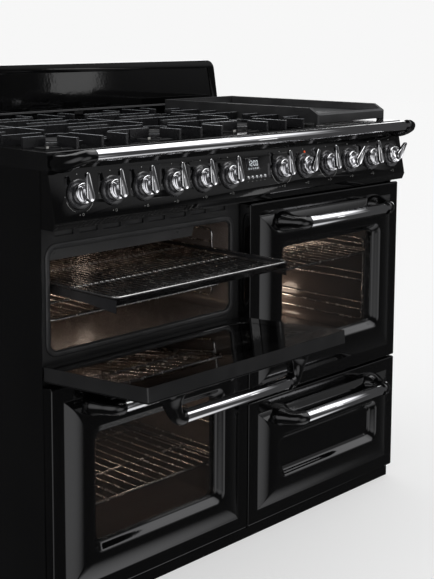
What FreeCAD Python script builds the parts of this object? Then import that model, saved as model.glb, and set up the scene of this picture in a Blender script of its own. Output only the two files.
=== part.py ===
import FreeCAD, Part
import os
import re
import Sketcher
from FreeCAD import Placement, Rotation, Vector

# A free-standing range cooker, 1100 mm wide.  X runs to the right, Y to the back, Z up.
# The origin is on the floor under the middle of the casing.  Left column: a grill oven over a
# main oven.  Right column: a tall oven over a storage drawer.  Every size is a cell of one sheet.

SIZES = (
    # casing
    ("width", 1100, "outer width over the side skins"),
    ("depth", 600, "door faces to the back edge of the hob"),
    ("hob_height", 900, "floor to the rim of the hob"),
    ("skirt", 34, "height of the pressed edge of the hob"),
    ("skin", 2, "thickness of the outer sheet panels"),
    ("skin_return", 18, "width of the folded returns of the side skins"),
    ("skin_setback", 22, "door faces back to the front edge of the side skins"),
    ("frame_setback", 33.5, "door faces back to the front frame"),
    ("frame_sheet", 2.5, "thickness of the front frame"),
    ("frame_gap", 0.1, "clearance between the front frame and the side skins"),
    ("rear_recess", 28, "back edge of the hob forward to the back panel"),
    ("plinth_height", 24, "height of the plinth"),
    ("plinth_setback", 10, "door faces back to the plinth"),
    ("plinth_rail", 30, "width of each plinth rail"),
    ("plinth_inset", 8, "side skins inward to the plinth"),
    ("foot_radius", 18, "radius of a levelling foot"),
    ("foot_inset", 90, "corner of the casing inward to a foot"),
    ("vent_slot", 46, "length of a vent slot"),
    ("vent_height", 9, "height of a vent slot"),
    ("vent_pitch", 60, "distance between vent slots"),
    ("vent_count", 8, "slots in one row"),
    ("vent_drop", 15, "top of the front frame down to the middle of its slots"),
    ("rear_vent_drop", 90, "top of the back panel down to its slots"),
    # doors and drawer front
    ("door_top", 750, "floor to the top edge of the upper doors"),
    ("door_inner", 1.5, "middle of the cooker to the inner door edges"),
    ("door_side_gap", 0.5, "door edge to the side skin"),
    ("door_base", 30, "floor to the lowest door edges"),
    ("door_thick", 30, "thickness of a door"),
    ("door_corner", 3, "corner radius of a door"),
    ("upper_door", 279, "height of the grill oven door"),
    ("left_gap", 9, "gap between the two left doors"),
    ("right_door", 435, "height of the right oven door"),
    ("right_gap", 4.5, "gap between the right door and the drawer"),
    ("ring_margin", 30, "door edge to the foot of the raised ring"),
    ("ring_crest", 79, "door edge to the crest of the ring"),
    ("ring_rise", 15, "height of the crest over the door face"),
    ("ring_land", 4, "width of the flat top of the crest"),
    ("ring_round", 5, "width of the eased shoulder of the crest"),
    ("ring_drop", 2.5, "height of that shoulder"),
    ("window_inset", 106, "door edge to the window"),
    ("window_corner", 18, "corner radius of the window"),
    ("pane_lip", 4, "thickness of the door face in front of the outer pane"),
    ("pane_thick", 4, "thickness of a pane"),
    ("pane_overlap", 8, "how far the outer pane reaches behind the face"),
    ("pane_gap", 0.3, "clearance round a pane"),
    ("inner_pane_inset", 40, "door edge to the inner pane"),
    ("inner_pane_set", 0.5, "back of the door to the face of the inner pane"),
    ("panel_recess", 2, "depth of the blank drawer panel under the door face"),
    # hinges
    ("hinge_inset", 10, "door face back to the hinge pins"),
    ("hinge_rise", 11, "lower door edge up to the hinge pins"),
    ("hinge_spot", 30, "door edge inward to a hinge arm"),
    ("arm_width", 8, "width of a hinge arm"),
    ("arm_radius", 6, "half height of a hinge arm"),
    ("arm_gap", 0.6, "clearance round a hinge arm"),
    ("pin_radius", 4, "radius of a hinge pin"),
    ("pin_fit", 0.06, "radial clearance of a hinge pin"),
    ("pin_reach", 14, "middle of the arm to the end of its pin"),
    ("upper_open", 85.6, "angle at which the grill oven door stands open"),
    # handles
    ("bar_radius", 12.5, "radius of a handle bar"),
    ("bar_standoff", 55.5, "door face to the middle of the bar"),
    ("bar_drop", 47, "upper door edge down to the bar"),
    ("bar_start", 121, "door edge inward to the end of the bar"),
    ("nose_centre", 108, "door edge inward to the middle of a handle end"),
    ("nose_foot", 27, "radius of the foot of a handle end"),
    ("nose_neck", 11.5, "radius of the neck of a handle end"),
    ("nose_waist", 24, "height of the waist of a handle end over the door face"),
    ("nose_sleeve", 14, "radius of the sleeve round the bar"),
    ("nose_bevel", 5, "length of the tapered outer end of the sleeve"),
    ("nose_seat", 2, "depth to which a handle end is formed behind the door face"),
    # ovens
    ("seal_margin", 16, "door edge to the outside of the door seal"),
    ("seal_low", 39, "lower door edge up to the seal"),
    ("seal_high", 24, "upper door edge down to the seal"),
    ("seal_width", 10, "width of the seal"),
    ("seal_gap", 0.3, "seal to the closed door"),
    ("seal_corner", 26, "outer corner radius of the seal"),
    ("cavity_margin", 2, "inside of the seal to the cavity"),
    ("cavity_depth", 440, "depth of an oven cavity"),
    ("cavity_wall", 2, "wall of an oven cavity"),
    ("fan_radius", 80, "radius of a fan cover"),
    ("fan_stand", 9, "depth of a fan cover"),
    ("fan_slot", 60, "height of a slot in the fan cover"),
    ("fan_slot_width", 6, "width of a slot in the fan cover"),
    ("fan_pitch", 18, "distance between slots in the fan cover"),
    ("fan_slots", 5, "slots in the fan cover"),
    # wire work
    ("wire", 2.5, "half thickness of a runner bar"),
    ("wire_wall", 7.5, "oven wall to the middle of a runner bar"),
    ("post_wall", 3, "oven wall to the middle of an upright bar"),
    ("post_front", 45, "front of the cavity to the first upright"),
    ("post_back", 400, "front of the cavity to the last upright"),
    ("post_tail", 12, "length of an upright past the outer runners"),
    ("ride", 0.3, "clearance over a runner bar"),
    ("rack_clear", 5.5, "oven wall to the rim of a rack"),
    ("rack_rim", 6, "thickness of the rim of a rack"),
    ("rack_corner", 14, "corner radius of a rack"),
    ("rack_wire", 2, "half thickness of a rack bar"),
    ("rack_bars", 15, "bars across a rack"),
    ("rack_front", 8, "front of the cavity to a rack"),
    ("rack_depth", 400, "front to back of a rack"),
    ("upper_rack_height", 577, "floor to the rack of the grill oven"),
    ("lower_rack_height", 190, "floor to the rack of the lower oven"),
    ("right_rack_height", 577, "floor to the rack of the right oven"),
    ("runner_step", 75, "distance between spare runner levels"),
    # grill tray
    ("tray_rim_height", 650, "floor to the rim of the grill tray"),
    ("tray_out", 140, "door faces forward to the front of the tray as shown"),
    ("tray_depth", 425, "front to back of the tray"),
    ("tray_clear", 6.5, "oven wall to the rim of the tray"),
    ("tray_flange", 12, "width of the rim of the tray"),
    ("tray_deep", 30, "depth of the tray"),
    ("tray_sheet", 1.5, "thickness of the tray"),
    ("tray_corner", 22, "corner radius of the tray"),
    ("grid_clear", 6, "wall of the tray to the wire grid"),
    ("grid_setback", 70, "front wall of the tray to the wire grid"),
    ("grid_rise", 14, "floor of the tray to the underside of the grid"),
    ("grid_foot", 12, "thickness of the feet of the grid"),
    # drawer
    ("drawer_open_inner", 30, "middle of the cooker to the drawer opening"),
    ("drawer_open_outer", 519, "middle of the cooker to the far side of that opening"),
    ("drawer_open_low", 50, "floor to the drawer opening"),
    ("drawer_open_high", 300, "floor to the top of the drawer opening"),
    ("box_clear", 8, "drawer opening to the side of the box"),
    ("box_flange", 6.5, "width of the rim on which the box rides"),
    ("box_sheet", 1.5, "thickness of the drawer box"),
    ("box_base", 6, "drawer opening up to the box"),
    ("box_rail", 60, "drawer opening up to the top of its rails"),
    ("box_high", 130, "height of the drawer box"),
    ("box_depth", 460, "front to back of the drawer box"),
    ("rail_height", 10, "height of a drawer rail"),
    # control panel
    ("panel_proud", 1, "top of the fascia behind the door faces"),
    ("panel_lean", 11.43, "lean of the fascia from the upright"),
    ("panel_fall", 94, "height of the sloping part of the fascia"),
    ("panel_under", 6, "how far the lower edge of the fascia turns back"),
    ("panel_gap", 8, "upper doors to the fascia"),
    ("panel_sheet", 2.5, "thickness of the fascia"),
    ("knob_drop", 48, "top of the fascia down its slope to the knobs"),
    ("knob_pitch", 81.6, "distance between knobs"),
    ("knob_left", -482, "middle of the cooker to the first knob on the left"),
    ("knob_right", 92, "middle of the cooker to the first knob on the right"),
    ("knobs_a_side", 6, "knobs in each group"),
    ("bezel_radius", 28, "radius of a bezel"),
    ("bezel_height", 5, "height of a bezel"),
    ("spindle", 3, "radius of a knob spindle"),
    ("spindle_fit", 0.1, "clearance round a spindle"),
    ("spindle_reach", 12, "length of a spindle behind the knob"),
    ("knob_gap", 0.3, "bezel to the knob"),
    ("knob_radius", 20, "radius of the knob body"),
    ("knob_height", 12, "height of the knob body"),
    ("lever_height", 28, "height of the lever over the bezel"),
    ("lever_tip", 35, "axis to the middle of the lever's tip"),
    ("lever_tip_radius", 3.2, "radius of the lever's tip"),
    ("lever_tail", 7, "axis to the middle of the lever's tail"),
    ("lever_tail_radius", 5.5, "radius of the lever's tail"),
    ("eighth_turn", 30, "how far the eighth knob is turned clockwise"),
    ("tenth_turn", 45, "how far the tenth knob is turned clockwise"),
    ("twelfth_turn", 50, "how far the twelfth knob is turned clockwise"),
    ("display_left", -21, "left edge of the clock window"),
    ("display_right", 23, "right edge of the clock window"),
    ("display_drop", 17, "top of the fascia down its slope to the clock window"),
    ("display_height", 27, "height of the clock window"),
    ("display_recess", 1, "depth of the clock window"),
    ("button_left", -20, "first button"),
    ("button_pitch", 13.25, "distance between buttons"),
    ("button_count", 5, "number of buttons"),
    ("button_drop", 59, "top of the fascia down its slope to the buttons"),
    ("button_radius", 4, "radius of a button"),
    ("button_fit", 0.1, "clearance round a button"),
    ("button_proud", 3.5, "height of a button over the fascia"),
    ("button_deep", 7, "length of a button behind the fascia"),
    # hob
    ("hob_rim", 30, "width of the flat rim of the hob at its front and left"),
    ("hob_rim_back", 55, "width of the flat rim at the back"),
    ("hob_sink", 12, "depth of the hob well under the rim"),
    ("hob_sheet", 2, "thickness of the hob"),
    ("hob_corner", 14, "corner radius of the hob well"),
    ("burner_middle", -131, "middle of the cooker to the middle column of burners"),
    ("burner_pitch", 269, "distance between columns of burners"),
    ("support_middle", 285.5, "door faces back to the middle of the pan supports"),
    ("burner_spread", 261, "distance between the front and back rows of burners"),
    ("burner_base", 5, "height of a burner body"),
    ("burner_crown", 8, "height of the burner ring on its body"),
    ("burner_step", 3, "how far the ring is smaller than the body"),
    ("cap_thick", 4.5, "thickness of a burner cap"),
    ("cap_edge", 1.5, "bevel of a burner cap"),
    ("simmer_radius", 30, "radius of a small burner"),
    ("rapid_radius", 36, "radius of a medium burner"),
    ("wok_radius", 46, "radius of the large burner"),
    ("support_width", 266, "width of a pan support"),
    ("support_length", 534, "front to back of a pan support"),
    ("support_top", 20, "rim of the hob up to the top of the pan supports"),
    ("support_blade", 6, "thickness of a pan support bar"),
    ("support_tip", 8, "height of a bar at its inner end"),
    ("support_seat", 0.3, "clearance under a pan support"),
    ("support_side", 62, "middle of a burner to the bars beside it"),
    ("finger_gap", 39, "middle of a burner to the ends of the bars that point at it"),
    ("ring_half", 80, "middle of a burner to the low ring that joins its bars"),
    ("ring_corner", 24, "corner radius of that ring"),
    ("ring_height", 7, "height of that ring"),
    # griddle
    ("griddle_left", 274, "left edge of the griddle plate"),
    ("griddle_right", 534, "right edge of the griddle plate"),
    ("griddle_front", 34, "door faces back to the lip of the griddle"),
    ("griddle_back", 540, "door faces back to the far end of the griddle"),
    ("griddle_base", 5, "rim of the hob up to the underside of the griddle"),
    ("griddle_top", 39, "rim of the hob up to the griddle rim"),
    ("griddle_lip", 23, "rim of the hob up to the front lip"),
    ("griddle_plate", 20.5, "rim of the hob up to the cooking face"),
    ("griddle_slope", 28, "length of the sloping front of the rims"),
    ("griddle_rim", 9, "width of the rims"),
    ("griddle_lip_width", 8, "width of the front lip"),
    ("griddle_floor", 8, "thickness of the cooking plate"),
    ("griddle_round", 6, "corner radius of the griddle"),
    ("griddle_leg", 16, "width of a griddle leg"),
    # backsplash
    ("splash_top", 136, "rim of the hob up to the top of the backsplash"),
    ("splash_half", 500, "half width of the backsplash at its top"),
    ("splash_flare", 24, "how far it widens down to the hob"),
    ("splash_thick", 22, "thickness of the backsplash"),
    ("splash_corner", 28, "corner radius of the backsplash"),
    ("splash_border", 20, "border round its recessed panel"),
    ("splash_recess", 3, "depth of its recessed panel"),
    ("splash_step", 24, "height of the step at its foot"),
    ("splash_step_deep", 16, "depth of that step"),
    # towel rail
    ("rail_radius", 11, "radius of the towel rail"),
    ("rail_standoff", 59, "hob edge forward to the towel rail"),
    ("rail_drop", 6, "rim of the hob down to the towel rail"),
    ("rail_half", 500, "half length of the polished rail"),
    ("horn_sleeve", 13, "radius of the horn where it takes the rail"),
    ("horn_root", 15, "radius of the horn at the hob"),
    # services at the back
    ("gas_spot", 470, "middle of the cooker to the gas stub"),
    ("gas_height", 640, "floor to the gas stub"),
    ("gas_radius", 10.5, "radius of the gas stub"),
    ("gas_length", 20, "length of the gas stub"),
    ("gas_flange", 18, "radius of the flange of the gas stub"),
    ("terminal_spot", -420, "middle of the cooker to the terminal box"),
    ("terminal_width", 130, "width of the terminal box"),
    ("terminal_height", 90, "height of the terminal box"),
    ("terminal_deep", 24, "depth of the terminal box"),
    ("gland_radius", 11, "radius of the cable gland opening"),
)

# Places that follow from the sizes, written with the names of the sheet.
PLACES = {
    "half": "width / 2",
    "front": "-depth / 2",
    "rear": "depth / 2",
    "skin_inside": "half - skin",
    "skirt_low": "hob_height - skirt",
    "frame_face": "front + frame_setback",
    "frame_back": "frame_face + frame_sheet",
    "frame_high": "door_top + panel_gap",
    "rear_panel": "rear - rear_recess",
    "door_outer": "skin_inside - door_side_gap",
    "upper_low": "door_top - upper_door",
    "lower_high": "upper_low - left_gap",
    "right_low": "door_top - right_door",
    "drawer_high": "right_low - right_gap",
    "hinge_y": "front + hinge_inset",
    "face": "-hinge_inset",
    "back": "door_thick - hinge_inset",
    "cavity_back": "frame_back + cavity_depth",
    "seal_face": "front + door_thick + seal_gap",
    "cavity_inset": "seal_margin + seal_width + cavity_margin",
    "hob_floor": "hob_height - hob_sink",
    "support_low": "hob_height + support_seat",
    "support_high": "hob_height + support_top",
    "well_right": "burner_middle + burner_pitch + support_width / 2 - support_blade / 2",
    "panel_y": "front + panel_proud",
    "panel_low": "skirt_low - panel_fall",
    "panel_nose": "panel_y - panel_fall * tan(panel_lean)",
    "rail_y": "front - rail_standoff",
    "rail_z": "hob_height - rail_drop",
    "tray_front": "front - tray_out",
    "tray_back": "tray_front + tray_depth",
    "knob_seat": "bezel_height + knob_gap",
}
FUNCTIONS = ("sin", "cos", "tan")

doc = FreeCAD.newDocument("range_cooker")
sheet = doc.addObject("Spreadsheet::Sheet", "sizes")
for row, (name, number, meaning) in enumerate(SIZES, 1):
    sheet.set(f"A{row}", name)
    sheet.set(f"B{row}", str(number))
    sheet.set(f"C{row}", meaning)
    sheet.setAlias(f"B{row}", name)
doc.recompute()


# ---------------------------------------------------------------- sizes and formulas

def formula(text):
    """A formula in the names above, with every name pointed at its cell."""
    def point(match):
        word = match.group(0)
        if word in FUNCTIONS:
            return word
        if word in PLACES:
            return f"({formula(PLACES[word])})"
        return f"sizes.{word}"
    return re.sub(r"[a-z][a-z_]*", point, text)


def value(text):
    """The number that a formula comes to."""
    return float(sheet.evalExpression(formula(text)))


def bind(thing, prop, text):
    thing.setExpression(prop, formula(text))


# ---------------------------------------------------------------- sketches

# Each drawing plane: its role in a body's origin, and the sign of its normal on the world axis.
PLANES = {"XY": ("XY_Plane", 1), "XZ": ("XZ_Plane", -1), "YZ": ("YZ_Plane", 1)}


def new_body(name):
    return doc.addObject("PartDesign::Body", name)


def sketch_on(body, name, plane, at):
    """An empty sketch on a plane of the body's own origin, moved to a place along its axis."""
    role, side = PLANES[plane]
    sketch = body.newObject("Sketcher::SketchObject", name)
    origin_plane = next(item for item in body.Origin.OriginFeatures if item.Role == role)
    sketch.AttachmentSupport = [(origin_plane, "")]
    sketch.MapMode = "FlatFace"
    bind(sketch, "AttachmentOffset.Base.z", at if side > 0 else f"-({at})")
    return sketch


def place_points(sketch, ties):
    """Tie points of a sketch to its origin.  Each tie is geometry, point, direction, formula."""
    kinds = {"x": "DistanceX", "y": "DistanceY"}
    for geometry, point, direction, text in ties:
        index = sketch.addConstraint(
            Sketcher.Constraint(kinds[direction], -1, 1, geometry, point, value(text)))
        sketch.setExpression(f"Constraints[{index}]", formula(text))


def outline(body, name, plane, at, corners):
    """A closed outline of straight lines through the given corners."""
    sketch = sketch_on(body, name, plane, at)
    spots = [Vector(value(across), value(up), 0) for across, up in corners]
    lines = [sketch.addGeometry(Part.LineSegment(start, end), False)
             for start, end in zip(spots, spots[1:] + spots[:1])]
    sketch.addConstraint([Sketcher.Constraint("Coincident", line, 2, after, 1)
                          for line, after in zip(lines, lines[1:] + lines[:1])])
    ties = []
    for line, (across, up) in zip(lines, corners):
        ties += [(line, 1, "x", across), (line, 1, "y", up)]
    place_points(sketch, ties)
    return sketch


def rectangle(body, name, plane, at, left, right, low, high):
    """A rectangle between two values on each axis of the plane."""
    corners = ((left, low), (right, low), (right, high), (left, high))
    return outline(body, name, plane, at, corners)


def rounded(body, name, plane, at, left, right, low, high, corner):
    """A rectangle whose four corners are equal arcs."""
    sketch = sketch_on(body, name, plane, at)
    x_low, x_high, y_low, y_high, turn = (value(text) for text in (left, right, low, high, corner))
    centres = ((x_high - turn, y_low + turn, -90), (x_high - turn, y_high - turn, 0),
               (x_low + turn, y_high - turn, 90), (x_low + turn, y_low + turn, 180))
    arcs = [Part.ArcOfCircle(Part.Circle(Vector(across, up, 0), Vector(0, 0, 1), turn),
                             _radians(start), _radians(start + 90))
            for across, up, start in centres]
    shapes = []
    for before, arc in zip(arcs[-1:] + arcs[:-1], arcs):
        shapes += [Part.LineSegment(before.EndPoint, arc.StartPoint), arc]
    for shape in shapes:
        sketch.addGeometry(shape, False)
    count = len(shapes)
    rules = [Sketcher.Constraint("Tangent", item, 2, (item + 1) % count, 1)
             for item in range(count)]
    rules += [Sketcher.Constraint("Horizontal", item) for item in (0, 4)]
    rules += [Sketcher.Constraint("Vertical", item) for item in (2, 6)]
    rules += [Sketcher.Constraint("Equal", 1, item) for item in (3, 5, 7)]
    sketch.addConstraint(rules)
    radius = sketch.addConstraint(Sketcher.Constraint("Radius", 1, turn))
    sketch.setExpression(f"Constraints[{radius}]", formula(corner))
    place_points(sketch, ((0, 1, "y", low), (2, 1, "x", right), (4, 1, "y", high),
                          (6, 1, "x", left)))
    return sketch


def _radians(degrees):
    return FreeCAD.Units.Quantity(f"{degrees} deg").getValueAs("rad").Value


def circles(body, name, plane, at, spots, radius):
    """Equal circles at the given spots."""
    sketch = sketch_on(body, name, plane, at)
    for across, up in spots:
        centre = Vector(value(across), value(up), 0)
        circle = sketch.addGeometry(Part.Circle(centre, Vector(0, 0, 1), value(radius)), False)
        place_points(sketch, ((circle, 3, "x", across), (circle, 3, "y", up)))
        index = sketch.addConstraint(Sketcher.Constraint("Radius", circle, value(radius)))
        sketch.setExpression(f"Constraints[{index}]", formula(radius))
    return sketch


# ---------------------------------------------------------------- features

def settle(body, feature):
    body.Tip = feature
    return feature


def side_of(sketch):
    """The sign of the sketch's normal on its world axis."""
    role = sketch.AttachmentSupport[0][0].Role
    return next(side for plane_role, side in PLANES.values() if plane_role == role)


def pad(body, sketch, length, toward):
    """Material from a sketch, toward + or - along the world axis."""
    feature = body.newObject("PartDesign::Pad", "Pad")
    feature.Profile = sketch
    bind(feature, "Length", length)
    feature.Reversed = toward * side_of(sketch) < 0
    return settle(body, feature)


def pocket(body, sketch, length, toward):
    """A recess from a sketch, toward + or - along the world axis."""
    feature = body.newObject("PartDesign::Pocket", "Pocket")
    feature.Profile = sketch
    bind(feature, "Length", length)
    feature.Reversed = toward * side_of(sketch) > 0
    return settle(body, feature)


def loft(body, sketches, cutting=False, ruled=True):
    kind = "PartDesign::SubtractiveLoft" if cutting else "PartDesign::AdditiveLoft"
    feature = body.newObject(kind, "Loft")
    feature.Profile = sketches[0]
    feature.Sections = sketches[1:]
    feature.Ruled = ruled
    return settle(body, feature)


def revolve(body, sketch):
    """A turned shape: the sketch goes once round its own second axis."""
    feature = body.newObject("PartDesign::Revolution", "Turned")
    feature.Profile = sketch
    feature.ReferenceAxis = (sketch, ["V_Axis"])
    feature.Angle = 360
    return settle(body, feature)


def repeat(body, feature, axis_role, length, count):
    """A straight row of copies of a feature; length is that of the whole row."""
    pattern = body.newObject("PartDesign::LinearPattern", "Row")
    pattern.Originals = [feature]
    axis = next(item for item in body.Origin.OriginFeatures if item.Role == axis_role)
    pattern.Direction = (axis, [""])
    bind(pattern, "Length", length)
    bind(pattern, "Occurrences", count)
    return settle(body, pattern)


def round_edges(body, radius, chosen):
    """Round the edges of the body for which chosen(edge) is true."""
    doc.recompute()
    base = body.Tip
    names = [f"Edge{number}" for number, edge in enumerate(base.Shape.Edges, 1) if chosen(edge)]
    feature = body.newObject("PartDesign::Fillet", "Round")
    feature.Base = (base, names)
    bind(feature, "Radius", radius)
    return settle(body, feature)


def bevel_edges(body, size, chosen):
    """Bevel the edges of the body for which chosen(edge) is true."""
    doc.recompute()
    base = body.Tip
    names = [f"Edge{number}" for number, edge in enumerate(base.Shape.Edges, 1) if chosen(edge)]
    feature = body.newObject("PartDesign::Chamfer", "Bevel")
    feature.Base = (base, names)
    bind(feature, "Size", size)
    return settle(body, feature)


def along(edge, axis):
    """Is the edge a straight one that runs along a world axis?"""
    if len(edge.Vertexes) != 2:
        return False
    step = edge.Vertexes[1].Point - edge.Vertexes[0].Point
    return step.Length > 0 and abs(step.dot(axis)) > 0.999 * step.Length


def gather(name, members):
    """Several separate solids kept as one node."""
    compound = doc.addObject("Part::Compound", name)
    compound.Links = members
    return compound


def trim(name, piece, tool):
    """A piece cut back to the surface of the part that it seats on."""
    cut = doc.addObject("Part::Cut", name)
    cut.Base = piece
    cut.Tool = tool
    return cut


NODES = {}


def node(name, thing):
    thing.Label = name
    NODES[name] = thing
    return thing


def hang(thing, low, angle="0"):
    """Move a piece from the frame of its door to its hinge line, turned open by an angle."""
    thing.Placement = Placement(Vector(0, 0, 0), Rotation(Vector(1, 0, 0), value(angle)))
    bind(thing, "Placement.Base.y", "hinge_y")
    bind(thing, "Placement.Base.z", f"{low} + hinge_rise")
    if angle != "0":
        bind(thing, "Placement.Rotation.Angle", angle)
    return thing


# ---------------------------------------------------------------- casing

X_AXIS = Vector(1, 0, 0)
Y_AXIS = Vector(0, 1, 0)
Z_AXIS = Vector(0, 0, 1)


def plinth():
    """A frame of flat rails on the floor with a rail under the middle wall, and four feet."""
    body = new_body("plinth_frame")
    rim = ("-half + plinth_inset", "half - plinth_inset",
           "front + plinth_setback", "rear_panel")
    pad(body, rectangle(body, "frame_plan", "XY", "0", *rim), "plinth_height", 1)
    inner_front = "front + plinth_setback + plinth_rail"
    for name, left, right in (
            ("left_bay", "-half + plinth_inset + plinth_rail", "-plinth_rail / 2"),
            ("right_bay", "plinth_rail / 2", "half - plinth_inset - plinth_rail")):
        bay = rectangle(body, name, "XY", "plinth_height", left, right, inner_front,
                        "rear_panel - plinth_rail")
        pocket(body, bay, "plinth_height", -1)
    feet = new_body("feet")
    across = "half - foot_inset"
    spots = [(f"{side}({across})", place) for side in ("-", "")
             for place in ("front + foot_inset", "rear_panel - foot_inset")]
    pad(feet, circles(feet, "foot_plan", "XY", "0", spots, "foot_radius"), "plinth_height", 1)
    return gather("plinth", [body, feet])


def side_panel(name, side):
    """A sheet skin with folded returns at its front frame line and at its back edge."""
    body = new_body(name)
    outer, inner = f"{side}half", f"{side}(half - skin)"
    lip = f"{side}(half - skin_return)"
    plan = ((outer, "front + skin_setback"), (inner, "front + skin_setback"),
            (inner, "frame_back"), (lip, "frame_back"), (lip, "frame_back + skin"),
            (inner, "frame_back + skin"), (inner, "rear - skin"), (lip, "rear - skin"),
            (lip, "rear"), (outer, "rear"))
    sketch = outline(body, f"{name}_plan", "XY", "plinth_height", plan)
    pad(body, sketch, "skirt_low - plinth_height", 1)
    return body


def back_panel():
    """The flat rear sheet with two rows of vent slots."""
    body = new_body("back_panel")
    sheet_plan = rectangle(body, "rear_sheet", "XZ", "rear_panel", "-skin_inside", "skin_inside",
                           "plinth_height", "skirt_low")
    pad(body, sheet_plan, "skin", 1)
    return vent_row(body, "rear_panel", "rear_panel + skin", "skirt_low - rear_vent_drop",
                    "-(vent_count - 1) * vent_pitch / 2")


def base_panel():
    """The sheet that closes the casing from below."""
    body = new_body("base_panel")
    plan = rectangle(body, "base_sheet", "XY", "plinth_height", "-skin_inside", "skin_inside",
                     "frame_back + skin", "rear_panel")
    pad(body, plan, "skin", 1)
    return body


def vent_row(body, face, far, height, first):
    """A row of slots through a sheet that stands across Y."""
    slot = rectangle(body, "slot", "XZ", face, f"{first} - vent_slot / 2",
                     f"{first} + vent_slot / 2", f"{height} - vent_height / 2",
                     f"{height} + vent_height / 2")
    hole = pocket(body, slot, f"({far}) - ({face})", 1)
    repeat(body, hole, "X_Axis", "(vent_count - 1) * vent_pitch", "vent_count")
    return body


# Each oven: the edges of its door, then the height of its rack.
OVENS = {
    "upper_left": ("-door_outer", "-door_inner", "upper_low", "door_top", "upper_rack_height"),
    "lower_left": ("-door_outer", "-door_inner", "door_base", "lower_high", "lower_rack_height"),
    "right": ("door_inner", "door_outer", "right_low", "door_top", "right_rack_height"),
}
LAYOUT_MIDDLE = "(door_outer + door_inner) / 2"


def mouth(oven, by="0"):
    """The edges of an oven's mouth, moved inward by a distance."""
    left, right, low, high, _rack = OVENS[oven]
    return (f"{left} + cavity_inset + {by}", f"{right} - cavity_inset - ({by})",
            f"{low} + seal_low + seal_width + cavity_margin + {by}",
            f"{high} - seal_high - seal_width - cavity_margin - ({by})")


def front_frame():
    """The sheet behind the doors, open at the three ovens and at the drawer."""
    body = new_body("front_frame")
    edge = "skin_inside - frame_gap"
    sheet_plan = rectangle(body, "front_sheet", "XZ", "frame_face", f"-({edge})", edge,
                           "plinth_height", "frame_high")
    pad(body, sheet_plan, "frame_sheet", 1)
    for oven in OVENS:
        hole = rounded(body, f"{oven}_mouth", "XZ", "frame_face", *mouth(oven),
                       "seal_corner - seal_width")
        pocket(body, hole, "frame_sheet", 1)
    drawer = rectangle(body, "drawer_mouth", "XZ", "frame_face", "drawer_open_inner",
                       "drawer_open_outer", "drawer_open_low", "drawer_open_high")
    pocket(body, drawer, "frame_sheet", 1)
    return vent_row(body, "frame_face", "frame_back", "frame_high - vent_drop",
                    f"-({LAYOUT_MIDDLE}) - (vent_count - 1) * vent_pitch / 2")


def cavity(oven):
    """An enamelled box with rounded edges, open at the front frame."""
    body = new_body(f"{oven}_cavity")
    outer = rounded(body, f"{oven}_shell", "XZ", "frame_back", *mouth(oven, "-cavity_wall"),
                    "seal_corner - seal_width + cavity_wall")
    pad(body, outer, "cavity_depth", 1)
    inner = rounded(body, f"{oven}_hollow", "XZ", "frame_back", *mouth(oven),
                    "seal_corner - seal_width")
    pocket(body, inner, "cavity_depth - cavity_wall", 1)
    return body


def seal(oven):
    """The seal that the closed door meets, on the front frame."""
    left, right, low, high, _rack = OVENS[oven]
    body = new_body(f"{oven}_seal")
    edges = (f"{left} + seal_margin", f"{right} - seal_margin",
             f"{low} + seal_low", f"{high} - seal_high")
    outside = rounded(body, f"{oven}_seal_rim", "XZ", "frame_face", *edges, "seal_corner")
    pad(body, outside, "frame_face - seal_face", -1)
    inside = [f"{text} {sign} seal_width" for text, sign in zip(edges, "+-+-")]
    hole = rounded(body, f"{oven}_seal_hole", "XZ", "seal_face", *inside,
                   "seal_corner - seal_width")
    pocket(body, hole, "frame_face - seal_face", 1)
    return body


def fan_cover(oven):
    """A round cover on the rear wall of an oven with a row of air slots."""
    left, right, low, high = mouth(oven)
    body = new_body(f"{oven}_fan")
    across, up = f"({left} + {right}) / 2", f"({low} + {high}) / 2"
    wall = "cavity_back - cavity_wall"
    face = f"{wall} - fan_stand"
    disc = circles(body, f"{oven}_disc", "XZ", wall, [(across, up)], "fan_radius")
    pad(body, disc, "fan_stand", -1)
    first = f"{across} - (fan_slots - 1) * fan_pitch / 2"
    slot = rectangle(body, "fan_slot", "XZ", face, f"{first} - fan_slot_width / 2",
                     f"{first} + fan_slot_width / 2", f"{up} - fan_slot / 2",
                     f"{up} + fan_slot / 2")
    hole = pocket(body, slot, "fan_stand", 1)
    repeat(body, hole, "X_Axis", "(fan_slots - 1) * fan_pitch", "fan_slots")
    return body


def runner(oven, side, levels):
    """A side frame on an oven wall: upright bars joined by a runner bar at each level."""
    left, right, _low, _high = mouth(oven)
    wall, inward = (left, "+") if side == "left" else (right, "-")
    body = new_body(f"{oven}_{side}_runner")
    start, end = "frame_back + post_front", "frame_back + post_back"
    for level in levels:
        near, far = sorted((f"{wall} {inward} post_wall", f"{wall} {inward} (wire_wall + wire)"),
                           key=value)
        bar = rectangle(body, "runner_bar", "XZ", f"{start} - wire", near, far,
                        f"{level} - wire", f"{level} + wire")
        pad(body, bar, "post_back - post_front + 2 * wire", 1)
    for place in (start, end):
        near, far = sorted((f"{wall} {inward} (post_wall - wire)",
                            f"{wall} {inward} (post_wall + wire)"), key=value)
        post = rectangle(body, "upright", "XY", f"{levels[0]} - post_tail", near, far,
                         f"{place} - wire", f"{place} + wire")
        pad(body, post, f"({levels[-1]}) - ({levels[0]}) + 2 * post_tail", 1)
    return body


def runner_levels(oven):
    """Heights of the runner bars of an oven, from the lowest up."""
    first = f"{OVENS[oven][4]} - rack_rim / 2 - ride - wire"
    if oven == "upper_left":
        return [first, "tray_rim_height - tray_sheet - ride - wire"]
    if oven == "right":
        return [f"{first} - 2 * runner_step", f"{first} - runner_step", first]
    return [first, f"{first} + runner_step", f"{first} + 2 * runner_step"]


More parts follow.
